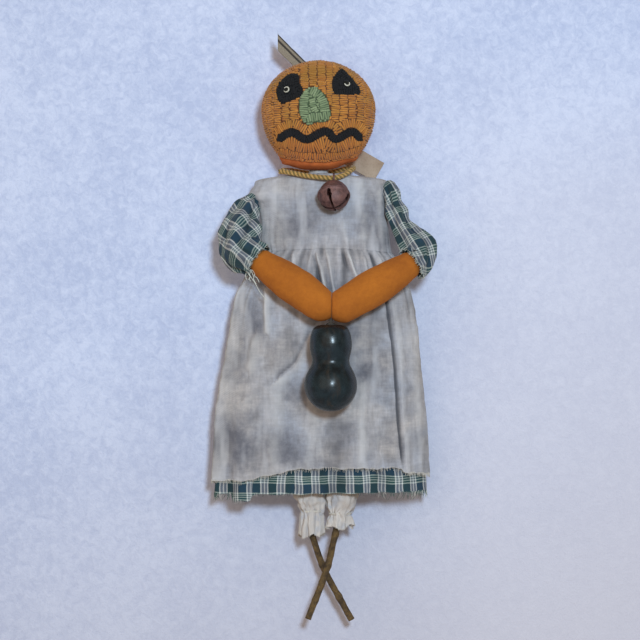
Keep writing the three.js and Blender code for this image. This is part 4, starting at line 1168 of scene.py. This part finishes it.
def bodice():
    angles = turns(BODICE_POINTS)
    rows = [[NECK + Vector((radius * 1.4 * cos(t), radius * sin(t), z)) for t in angles]
            for radius, z in ((9.2, -5), (13, -1.5))]
    rows += [[dress_point(NECKLINE, inset, t, 0.3 * sin(k * 0.9)) - UP * drop for k, t in enumerate(angles)]
             for inset, drop in ((2.2, 1.0), (1.0, -0.4))]
    fold_shading = [0.5] * (len(rows) * BODICE_POINTS)
    for level in smooth_levels(BODICE, 10):
        row = []
        z = level[0]
        above = abs(z - WAIST_Z)
        fade = min(1, (z - WAIST_Z) / 8)
        for angle in angles:
            fold = exp(-above / 7) * waist_gather(angle)
            fold += exp(-abs(z - NECKLINE[0]) / 5) * 0.35 * sin(angle * 26 + sin(angle * 7))
            p = dress_point(level, APRON_INSET, angle, 0)
            crumple = rough(p, 0.09, 0.7, 4) + rough(p, 0.22, 0.4, 9)
            if p.y < BODICE_FRONT_Y:
                fold += sum(crease(p.x, z, *tuck) for tuck in TUCKS) * fade
                fold -= 1.2 * bell_curve(p.x - BELL_DENT[0], 11) * bell_curve(z - BELL_DENT[1], 14)
            fold += crumple * fade
            # Painted shade in the tucks and where the bell dents the bodice, and a painted highlight on crests, from
            # the fold height
            fold_shading.append(fold_shading_of(fold))
            fold += rough((p.x * 0.05, p.y * 0.05, p.z * 0.02), 1.0, 1.6, 2) * fade
            p = dress_point(level, APRON_INSET, angle, fold + 0.3 * exp(-above / 1.5))
            p.z -= waist_bow(p) * exp(-above / 10)
            row.append(p)
        rows.append(row)
    skinned("apron_bodice_cloth", "torso", "muslin", MUSLIN, rows, values={"fold_shading": fold_shading},
            nodes=("apron_bodice", "torso", "plaid_bodice"))


bodice()

# Folds on the front of the apron skirt, as on the bodice, some with a groove on the steep side
PLEATS = [
    ([(46, -64), (54, -88), (60, -108), (64.5, -150), (67.5, -181), (72, -251)], 1.4, 7.0, 0.18, 3.3),
    ([(-7, -136), (-19, -161), (-33, -171)], 1.8, 9.0, 0.3, 1.7),
    ([(-33, -171), (-44, -178), (-62, -185)], 1.2, 9.0, 0.3, 0.7),
    ([(-44, -96), (-43, -131)], 3.0, 4.5, 0.6),
    ([(-54, -138), (-58, -160)], 1.8, 7.0, 0.6),
    ([(-3, -63), (6, -106)], 3.8, 2.6, 0.6, 1.6),
    ([(22, -63), (31, -90)], 3.8, 2.6, 0.6, 1.6),
    ([(6, -63), (12, -100)], 2.6, 2.2, 0.7, 0.8),
    ([(-22, -63), (-22, -88)], 2.2, 3.0, 0.7, 0.8),
    ([(36, -63), (40, -86)], 2.4, 3.0, 0.7, 0.8),
    ([(-66, -100), (-76, -170), (-84, -250)], 2.2, 9.0, 0.7),
    ([(-34, -190), (-40, -250)], 1.8, 12.0, 0.8),
    ([(36, -180), (33, -250)], 1.6, 6.0, 0.6),
    ([(50, -150), (50, -250)], 1.4, 6.0, 0.7),
    ([(-4, -196), (-8, -250)], 1.6, 10.0, 0.8),
    ([(80, -130), (86, -250)], 1.8, 6.0, 0.7),
]
SKIRT = [WAIST, between(WAIST, SKIRT_TOP, 0.2, 5), between(WAIST, SKIRT_TOP, 0.55, 5), SKIRT_TOP,
         between(SKIRT_TOP, SKIRT_MID, 0.5), SKIRT_MID, HEM]
SKIRT_FRONT_Y = -25
FOLD_DEPTH = 2.6


def fold_shape(angle):
    return 0.65 * cos(11 * angle + 0.6) + 0.35 * cos(15 * angle - 1.1)


def skirt_rows(inset, hem_of, count, per_span, plaid_layer):
    """Rows down the skirt, and the height of the folds over each point."""
    rows, heights = [], []
    for level in smooth_levels(SKIRT, per_span):
        share = (WAIST_Z - level[0]) / (WAIST_Z - HEM_Z)
        row = []
        for angle in turns(count):
            broad = FOLD_DEPTH * min(share, 1) * fold_shape(angle)
            plain = dress_point(level, inset, angle, 0)
            if plaid_layer:
                broad -= 3.5 * (1 - ease(share, 0.8, 0.96))
            fold = (1 + share * 10) * exp(-share * 9) * waist_gather(angle)
            fold += exp(-share * 3.2) * 0.9 * sin(angle * 21 + 1.4 * sin(angle * 3)) * min(1, share * 8)
            if plain.y < SKIRT_FRONT_Y and not plaid_layer:
                fold += sum(crease(plain.x, plain.z, *pleat) for pleat in PLEATS) * min(1, share * 20)
            broad += rough((plain.x * 0.035, plain.y * 0.05, plain.z * 0.012), 1.0, 2.8, 6) * min(1, share * 4)
            fold += (rough(plain, 0.1, 0.6, 3) + rough(plain, 0.24, 0.35, 7)) * min(1, share * 4)
            p = dress_point(level, inset, angle, fold + broad - 0.3 * exp(-share * 70))
            low = hem_of(p.x, p.y)
            p.z = WAIST_Z + (p.z - WAIST_Z) * (low - WAIST_Z) / (HEM_Z - WAIST_Z)
            p.z -= waist_bow(p) * exp(-share * 19)
            row.append(p)
            heights.append(fold + 0.25 * broad)
        rows.append(row)
    return rows, heights


def apron_hem(x, y):
    """The torn hem is lowest at the doll's right and steps down at the sharp pleat."""
    z = -248 - 11 * ease(-x, 8, 74) - 3.6 * ease(x, 69, 72) - 2.5 * ease(x, 75, 93)
    return z + 0.5 * sin(x * 0.23) + 0.35 * sin(x * 0.61 + y * 0.4)


def plaid_hem(x, y):
    """The under hem is a little higher at the doll's left, with a torn drop at the front of its right."""
    z = -270 + 1.5 * ease(x, -60, 60) - 6 * ease(-x, 56, 60) * (1 - ease(-x, 72, 76)) * (1 if y < -15 else 0)
    return z + 0.4 * sin(x * 0.31 + y * 0.2)


def lengths_of(rows):
    """Lengths (round the last row, up) in mm over rows of a tube, for a pattern that follows the cloth."""
    round_run = [0.0]
    for a, b in zip(rows[-1], rows[-1][1:]):
        round_run.append(round_run[-1] + (b - a).length)
    return [(along, p.z) for row in rows for along, p in zip(round_run, row)]


THREAD_THICK = 0.2


def fringe(name, body, materials, edge, share, reach, seed, drift=0.35):
    """Frayed thread ends at a share of an edge's (point, way out, along) triples."""
    local = random.Random(seed)
    points, faces, groups = [], [], []
    for p, out, along in edge:
        if local.random() > share:
            continue
        long = local.uniform(*reach)
        bend = along * local.uniform(-drift, drift) * long
        push = out.cross(along) * local.uniform(-0.3, 0.3) * long
        run = catmull([p - out * 1.0, p + out * long * 0.5 + bend * 0.3, p + out * long + bend + push], 3)
        rows = []
        for i, (q, (a, b)) in enumerate(zip(run, frames(run))):
            thick = THREAD_THICK * (1 - 0.5 * i / (len(run) - 1))
            rows.append([q + a * thick, q - a * thick * 0.5 + b * thick * 0.87,
                         q - a * thick * 0.5 - b * thick * 0.87])
        count = add_skin(points, faces, rows)
        groups += [local.randrange(len(materials))] * count
    return piece(name, body, "thread", materials, points, faces, groups=groups)


def edge_of(row, out):
    return [(p, out, (row[(k + 1) % len(row)] - row[k - 1]).normalized()) for k, p in enumerate(row)]


def skirts():
    # Fold heights give the painted shade in the folds of both skirts
    rows, heights = skirt_rows(APRON_INSET, apron_hem, 640, 20, False)
    apron = skinned("apron_skirt_cloth", "torso", "muslin", MUSLIN, rows,
                    values={"fold_shading": [fold_shading_of(h - 0.5) for h in heights]}, nodes=("apron_skirt",))
    fray = fringe("apron_hem_fray", "torso", (THREAD,), edge_of(rows[-1], -UP), 0.75, (1.0, 3.2), 3)
    around = run_length(rows[-1] + rows[-1][:1])
    rows, heights = skirt_rows(PLAID_INSET, plaid_hem, 300, 12, True)
    under = skinned("plaid_skirt_cloth", "torso", "plaid_homespun", PLAID, rows, uvs=lengths_of(rows),
                    values={"fold_shading": [fold_shading_of(h) for h in heights]}, nodes=("plaid_skirt",))
    edge = edge_of(rows[-1], -UP)
    threads = (PALE_THREAD, GREEN_THREAD, GREEN_THREAD)
    fray = fringe("plaid_hem_fray", "torso", threads, edge, 0.9, (0.8, 2.8), 4)
    corners = [e for e in edge if e[0].y < -20 and (e[0].x > 50 or e[0].x < -74)]
    torn = fringe("plaid_corner_fray", "torso", threads, corners * 2, 0.6, (2.0, 6.5), 5, 0.6)
    around = run_length(rows[-1] + rows[-1][:1])


skirts()

# Arms: where each forearm leaves its cuff, and which way it points
RIGHT_ROOT = Vector((-46.5, -55.9, -75.5))
RIGHT_WAY = Vector((0.7913, -0.2322, -0.5657)).normalized()
LEFT_ROOT = Vector((73.5, -55.9, -77.8))
LEFT_WAY = Vector((-0.8332, -0.2148, -0.5095)).normalized()
ARM_START, ARM_END = 11.75, 14
FOREARM_POINTS = 72
CUFF_BACK = 6.3
CUFF = (14.2, 13.6)
SLEEVE_POINTS = 96


def forearm(side, root, way, reach, limit, sign):
    """A stuffed arm along a way, flattened where it meets the other at x = limit."""
    profile = arc(ARM_START, (-80, -60, -40, -20))
    profile += [(ARM_START, 0), (13.4, reach * 0.15), (14.56, reach * 0.3), (15.3, reach * 0.48), (15.5, reach * 0.65),
                (15.0, reach * 0.84)]
    profile += arc(ARM_END, (0, 15, 30, 45, 60, 75, 88), reach)
    rows = []
    for r, h, _ in flat_run(profile, 4):
        centre = root + way * h
        row = []
        for p in ring_at(centre, way, max(r, 0.05), max(r, 0.05), FOREARM_POINTS):
            p = p + (p - centre).normalized() * (rough(p, 0.06, 0.9, sign) + rough(p, 0.16, 0.35, sign + 3))
            if (p.x - limit) * -sign > 0:
                p.x = limit
            row.append(p)
        rows.append(row)
    made = skinned(side + "_forearm_felt", side + "_forearm", "felt", FELT, rows, cap=True, nodes=(side + "_forearm",))


def sleeve_lengths(rows, pulls, down, turn):
    """Plaid lengths in mm, flat over the front of a sleeve and turned, with the pull of its bunching."""
    aside = down.cross(BACK).normalized()
    c, s = cos(turn), sin(turn)
    uvs = []
    for row, pull in zip(rows, pulls):
        count = len(row)
        centre = sum(row, Vector()) / count
        broad = sum((p - centre).length for p in row) / count
        for k, p in enumerate(row):
            front = (k / count * tau + 1.5 * pi) % tau - pi
            lap = p.dot(aside) + broad * (front - sin(front))
            along = p.dot(down) + pull[k]
            uvs.append((lap * c - along * s, lap * s + along * c))
    return uvs


def sleeve(side, stations, root, way, turn, seed):
    """A gathered sleeve through stations (x, y, z, half-width, half-depth) to the cuff."""
    path = [Vector(s[:3]) for s in stations] + [root - way * CUFF_BACK]
    centres = catmull(path, 8)
    radii = catmull([(*s[3:], 0) for s in stations] + [(*CUFF, 0)], 8)
    axes = tangents(centres)
    angles = turns(SLEEVE_POINTS)
    local = random.Random(seed)
    phases = [local.uniform(0, 6.28) for _ in range(6)]
    rows = []
    for a in map(radians, (60, 40, 20)):
        rows.append(ring_at(centres[0] - axes[0] * (10 * sin(a)), axes[0], radii[0].x * cos(a), radii[0].y * cos(a),
                            SLEEVE_POINTS))
    fold_shading = [0.5] * (len(rows) * SLEEVE_POINTS)
    pulls = [[0.0] * SLEEVE_POINTS] * len(rows)

    def bunch(angle, t):
        wave = sin(24 * t + 1.6 * sin(angle + phases[4]) + phases[5])
        return wave * exp(-(t / 0.5) ** 4) * min(1, t * 9)

    def fold(angle, t):
        top = exp(-t * 4) * 1.2 * sin(9 * angle + phases[0])
        low = exp(-(1 - t) * 4) * (1.6 * sin(8 * angle + phases[1]) + 0.7 * sin(13 * angle + phases[2]))
        facet = asin(sin(5 * angle + phases[3] + 3 * t)) * 2 / pi
        return top + low + 2.2 * facet * sin(pi * t) ** 0.7 + 0.7 * bunch(angle, t)

    for i, (centre, radius) in enumerate(zip(centres, radii)):
        t = i / (len(centres) - 1)
        axis = axes[i].lerp(way, ease(t, 0.72, 1.0)).normalized()
        # Painted shade in the sleeve's folds, from their height
        fold_shading += [fold_shading_of(0.7 + fold(angle, t)) for angle in angles]
        row = ring_at(centre, axis, radius.x, radius.y, SLEEVE_POINTS, lambda angle: fold(angle, t))
        rows.append([p + (p - centre).normalized() * rough(p, 0.11, 1.6, seed) for p in row])
        pulls.append([1.3 * bunch(angle, t) for angle in angles])
    name, body, inner = side + "_sleeve_cloth", side + "_arm", side + "_upper_arm"
    uvs = sleeve_lengths(rows, pulls, (path[-2] - path[0]).normalized(), turn)
    made = skinned(name, body, "plaid_homespun", PLAID, rows, uvs=uvs, values={"fold_shading": fold_shading},
                   nodes=(side + "_sleeve", inner))
    frays = [fringe(name + "_fray", body, (PALE_THREAD, PALE_THREAD, GREEN_THREAD), edge_of(rows[-1], way) * 2, 0.8,
                    (0.6, 1.9), seed)]
    if side == "right":
        frays.append(loose_threads())


def loose_threads():
    """Six short pale threads and a long one, hanging from the lower edge of the right cuff."""
    local = random.Random(31)
    points, faces = [], []
    for k in range(7):
        start = Vector((-61 + 1.1 * (k % 6), -57 - 0.6 * (k % 6), -80.8))
        long = local.uniform(7, 13) if k < 6 else 30
        lean = Vector((0.55, 0.02, -0.83)) if k == 6 else Vector((local.uniform(-0.2, 0.7), 0.2, -0.9)).normalized()
        run = []
        for t in (-0.1, 0.2, 0.45, 0.7, 1.0):
            stray = Vector((local.uniform(-0.9, 0.9), 0, local.uniform(-0.9, 0.9)))
            run.append(start + lean * (long * t) + stray * min(1, t * 4))
        add_skin(points, faces, tube_rows(catmull(run, 6), 0.34, 6))
    return piece("right_cuff_threads", "right_arm", "thread", (PALE_THREAD,), points, faces)


forearm("right", RIGHT_ROOT, RIGHT_WAY, 60.28, 10.05, -1)
forearm("left", LEFT_ROOT, LEFT_WAY, 65.17, 10.35, 1)
sleeve("right", [(-58, -23.14, -21.8, 6.8, 9.2), (-63, -29.4, -31.6, 11.6, 11.8), (-66, -37, -45, 16, 14),
                 (-66.2, -43, -56, 17.6, 15), (-64.5, -49, -65, 16.4, 15.6)], RIGHT_ROOT, RIGHT_WAY, radians(-125), 11)
sleeve("left", [(60.6, -23, -12.5, 7, 9), (63.4, -27, -25, 7.8, 9.6), (67.6, -32, -39, 8.6, 10.6),
                (75, -38, -52, 9.8, 12.4), (83, -43, -62, 14.4, 14.8), (82, -46, -71.5, 13, 14)], LEFT_ROOT, LEFT_WAY,
       radians(8), 12)

# Neck, as (radius, z)
NECK_PROFILE = [(0.05, -15.9), (5, -14.4), (8.2, -11), (9.4, -6.5), (8.4, -1.6), (8.2, 4), (8.1, 10), (8.0, 17)]
skinned("neck_cloth", "neck", "stuffing", COTTON,
        [ring_at(NECK + UP * z, UP, radius, radius, 40, lambda a: 0.2 * sin(9 * a)) for radius, z in NECK_PROFILE],
        nodes=("neck",))

# Gourd and its stalk, as (radius, z)
GOURD_AXIS = Vector((9.4, -73.9, 0))
LOBES = [(0.05, -126.3), (5, -126.3), (10, -126.9), (14.2, -129.2), (16.4, -134), (17.3, -139.4), (17.5, -144),
         (16.9, -149), (15.9, -153.2), (15.5, -156.6), (16.4, -160.2), (18.8, -164.6), (21, -170), (22, -176.4),
         (21.3, -182.4), (18.6, -188.4), (14.4, -193.4), (9, -196.9), (4, -198.2), (0.05, -198.45)]
STALK = [(4.2, -130.5), (4.2, -127.0), (4.0, -126.0), (2.75, -125.1), (1.7, -124.3), (1.35, -123.7), (1.3, -122.4),
         (1.3, -121.6), (0.7, -121.45), (0.02, -121.45)]
STALK_POINTS = 24


def gourd():
    rows = []
    for r, z, _ in flat_run(LOBES, 4):
        centre = GOURD_AXIS + UP * z
        rows.append([p + (p - centre).normalized() * min(1, r / 8) * rough(p, 0.07, 0.5, 8)
                     for p in ring_at(centre, -UP, r, r, 80)])
    skinned("gourd_skin", "ornament", "gourd", GOURD, rows, nodes=("gourd_bulb",))
    rows = [ring_at(GOURD_AXIS + UP * z, UP, r, r, STALK_POINTS, lambda a: 0.06 * r * sin(5 * a)) for r, z in STALK]
    uvs = [(k * 0.5, i * 1.2) for i in range(len(rows)) for k in range(STALK_POINTS)]
    skinned("gourd_stalk", "ornament", "twig", SHADED_WOOD, rows, uvs=uvs, nodes=("gourd_stem",))


gourd()

# Bell: two domes with a rolled lip, a cross slot in the lower one, a wire loop round the cord and a loose pellet
BELL = Vector((12.1, -54.85, -17.61))
BELL_AXIS = Vector((0, -0.559, -0.829)).normalized()
BELL_SLOT_TURN = radians(20)
BELL_RADIUS, BELL_INNER = 13, 12.1
BELL_LIP = [(13.2, 1.6), (13.75, 1.2), (13.9, 0.7), (13.75, 0.2), (12.4, 0.15)]
BELL_RINGS = 20
SLOT_HALF, SLOT_HOLE = 0.95, 2.0
SLOT_REACH = BELL_RADIUS * 0.86
CORD_AT_BELL = Vector((12.1, -44.4, -2.1))
LOOP_RADIUS, LOOP_WIRE = 4, 0.8
LOOP_DROP = LOOP_RADIUS - LOOP_WIRE - CORD_DIAMETER / 2 - 0.3
PELLET_RADIUS = 3
PELLET = Vector((12.1, -54.85, -26.41))


def bell():
    side = Vector((1, 0, 0))
    front = BELL_AXIS.cross(side)
    u = side * cos(BELL_SLOT_TURN) + front * sin(BELL_SLOT_TURN)
    v = BELL_AXIS.cross(u)

    def dome(sign):
        shares = [i / BELL_RINGS for i in range(BELL_RINGS + 1)]
        outer = arc(BELL_RADIUS, [89.9 - 80 * share for share in shares])
        inner = arc(BELL_INNER, [8 + 81.9 * share for share in shares])
        rows = []
        for r, h in outer + BELL_LIP + inner:
            row = [BELL + (u * cos(t) + v * sin(t)) * r + BELL_AXIS * (sign * h) for t in turns(96)]
            rows.append([p + (p - BELL).normalized() * rough(p, 0.2, 0.25, 4) for p in row])
        points, faces = skin(rows)
        return points, (faces if sign < 0 else [tuple(reversed(f)) for f in faces])

    def in_slot(middle):
        a, b, h = middle.dot(u), middle.dot(v), middle.dot(BELL_AXIS)
        return h >= 0.5 and any(abs(q) < SLOT_HALF and abs(p) < SLOT_REACH or hypot(abs(p) - SLOT_REACH, q) < SLOT_HOLE
                                for p, q in ((a, b), (b, a)))

    points, faces = dome(-1)
    piece("bell_upper", "bell", "rusty_tin", (RUST,), points, faces, nodes=("bell_top",))
    points, faces = dome(1)
    kept = [face for face in faces if not in_slot(sum((points[i] for i in face), Vector()) / len(face) - BELL)]
    used = sorted({i for face in kept for i in face})
    index = {old: new for new, old in enumerate(used)}
    piece("bell_lower", "bell", "rusty_tin", (RUST,), [points[i] for i in used],
          [tuple(index[i] for i in face) for face in kept], nodes=("bell_bottom",))
    ring = [CORD_AT_BELL + BELL_AXIS * (LOOP_DROP - LOOP_RADIUS * sin(a)) + front * (-LOOP_RADIUS * cos(a))
            for a in (radians(-75 + 330 * i / 40) for i in range(41))]
    skinned("bell_loop", "bell", "rusty_tin", RUST, tube_rows(ring, LOOP_WIRE, 12), nodes=("bell_shank",))
    profile = arc(PELLET_RADIUS, [-89.5 + 179 * i / 12 for i in range(13)])
    skinned("bell_ball", "bell_pellet", "rusty_tin", RUST, [ring_at(PELLET + UP * h, UP, r, r, 24) for r, h in profile],
            nodes=("bell_pellet",))


bell()

# Paper tag: a thin card with clipped corners at its hidden end and a hole there, a little curled
TAG_START = Vector((21.9, -5.2, 22.1))
TAG_DROOP = radians(30)
TAG_LONG, TAG_HALF, TAG_CLIP = 34, 9.1, 5
TAG_HOLE = 1.2
TAG_COLUMNS, TAG_LINES = 34, 18
TAG_PAPER = 0.0005


def tag():
    along = Vector((cos(TAG_DROOP), 0, -sin(TAG_DROOP)))
    across = Vector((sin(TAG_DROOP), 0, cos(TAG_DROOP)))

    def place(i, k):
        s = TAG_LONG * i / TAG_COLUMNS
        t = (TAG_HALF - max(0.0, TAG_CLIP - s)) * (2 * k / TAG_LINES - 1)
        curl = -0.5 * (s / TAG_LONG) ** 2 + 0.25 * (t / TAG_HALF) ** 2 + rough((s, t, 0), 0.12, 0.25, 5)
        return TAG_START + along * s + across * t + BACK * curl

    def clear_of_hole(i, k):
        s, t = TAG_LONG * (i + 0.5) / TAG_COLUMNS, 2 * TAG_HALF * ((k + 0.5) / TAG_LINES - 0.5)
        return hypot(s - TAG_CLIP, t) > TAG_HOLE

    cells = [(i, k) for i in range(TAG_COLUMNS) for k in range(TAG_LINES) if clear_of_hole(i, k)]
    made = piece("tag_card", "tag", "paper", (PAPER,), *sheet_over(cells, place), nodes=("paper_tag",))
    solid = made.modifiers.new("paper", "SOLIDIFY")
    solid.thickness = TAG_PAPER
    solid.offset = 0


tag()

# Legs
LEG_Y = -26
LEG_DEEP, RUFFLE_DEEP = 0.86, 0.9  # depth against width
LEG_POINTS = 120
TIE_THICK = 0.5
TWIG_RADIUS = 2.75
TWIG_STEP = 1.6
TWIG_POINTS = 24
TWIG_KNOTS = (70, 97, 128)


def pantaloon(side, hip, levels, ankle, ruffle, seed):
    """A gathered leg through levels (x, z, radius), and its ruffle through (x, z, radius, swing)."""
    local = random.Random(seed)
    phase = [local.uniform(0, 6.28) for _ in range(5)]
    x, z, top = hip
    stations = [(x, z + up, out) for out, up in arc(top, (45, 20))] + [hip] + levels + [ankle]
    rows = []

    def crumple(p):
        amount = 2.3 * ease(-p.z, 262, 276)
        return Vector((rough(p, 0.17, amount, seed + 5), rough(p, 0.17, amount, seed + 6),
                       rough(p, 0.12, amount, seed + 7)))

    for x, z, r in catmull(stations, 8):
        near = exp(-(z - ankle[1]) / 14)

        def fold(angle):
            pleats = sin(13 * angle + phase[0] + 0.8 * sin(3 * angle)) * near
            pleats += sin(21 * angle + phase[1]) * 0.35 * near
            return pleats + sin(3 * angle + phase[2] + z * 0.05)

        row = ring_at(Vector((x, LEG_Y, z)), -UP, r, r * LEG_DEEP, LEG_POINTS, fold if r > 4 else None)
        rows.append([p + Vector((rough(p, 0.06, 0.8, seed), rough(p, 0.06, 0.6, seed + 2), 0)) + crumple(p)
                     for p in row])
    for x, z, r, swing in ruffle:
        row = ring_at(Vector((x, LEG_Y, z)), -UP, r, r * RUFFLE_DEEP, LEG_POINTS,
                      lambda angle: swing * (sin(9 * angle + phase[3]) + 0.5 * sin(14 * angle + phase[4])))
        rows.append([p + crumple(p) - UP * (1.2 * swing * sin(4 * t + phase[1]))
                     for p, t in zip(row, turns(LEG_POINTS))])
    made = skinned(side + "_pantaloon_cloth", side + "_leg", "pantaloon_cotton", COTTON, rows,
                   nodes=(side + "_pantaloon",))
    fray = fringe(side + "_ruffle_fray", side + "_leg", (THREAD,), edge_of(rows[-1], -UP), 0.5, (0.4, 1.4), seed)


def ankle_tie(side, ankle):
    """A gathering thread wound twice round an ankle (x, z, radius)."""
    x, z, r = ankle
    tie = []
    for i in range(121):
        a = tau * i / 60
        tie.append(Vector((x + (r + TIE_THICK) * cos(a), LEG_Y + (r * LEG_DEEP + TIE_THICK) * sin(a),
                           z - 0.6 + 1.2 * i / 120)))
    skinned(side + "_ankle_thread", side + "_leg", "thread", THREAD, tube_rows(tie, 0.55, 8),
            nodes=(side + "_ankle_tie",))


def twig(side, route, seed):
    """A knotty stick along points (x, depth from the legs' middle, z)."""
    path = even(catmull([(x, LEG_Y + dy, z) for x, dy, z in route], 12), TWIG_STEP)
    rows, uvs = [], []
    for i, (p, (a, b)) in enumerate(zip(path, frames(path))):
        row = []
        knot = sum(0.5 * bell_curve(i * TWIG_STEP - at, 2.2) for at in TWIG_KNOTS)
        for k, angle in enumerate(turns(TWIG_POINTS)):
            d = a * cos(angle) + b * sin(angle)
            grain = rough((d.x * 2, d.y * 2, p.z * 0.08), 1.0, 0.35, seed) + rough(p + d * 3, 0.3, 0.25, seed)
            row.append(p + d * (TWIG_RADIUS + knot + grain))
            uvs.append((k * 0.72, i * TWIG_STEP))
        rows.append(row)
    skinned(side + "_twig_stick", side + "_leg", "twig", TWIG, rows, cap=True, uvs=uvs, nodes=(side + "_twig",))


def leg(side, hip, levels, ankle, ruffle, route, seed):
    pantaloon(side, hip, levels, ankle, ruffle, seed)
    ankle_tie(side, ankle)
    twig(side, route, seed)


leg("right", (-8, -146.1, 11.8),
    [(-9.6, -180, 12), (-9.5, -225, 12.2), (-9.4, -268, 12.2), (-8, -279, 11)], (-6.8, -285.5, 8.2),
    [(-6.9, -287.5, 8.6, 0.5), (-6.9, -291, 9.6, 0.9), (-7.0, -298, 10.3, 1.2), (-7.2, -306, 10.8, 1.5)],
    [(-10, 0, -236), (-9.6, 0, -270), (-7.8, 0.5, -298), (-5, 1.5, -310), (4.9, 4, -337.5), (27.5, 4, -378.9)], 21)
leg("left", (18.6, -148.1, 13.8),
    [(20.2, -180, 14), (20, -225, 14.4), (19.8, -266, 14.6), (18.8, -280, 12.4)], (17.6, -287.5, 8.8),
    [(17.5, -289, 9.3, 0.5), (17.4, -291.5, 10.4, 0.9), (17.2, -295, 11, 1.3), (17, -298.5, 11.4, 1.6)],
    [(18.6, 0, -236), (18.3, 0, -270), (15, -0.5, -297), (11.8, -2, -312), (5.9, -4, -335.7), (-9.8, -4, -377.1)], 22)
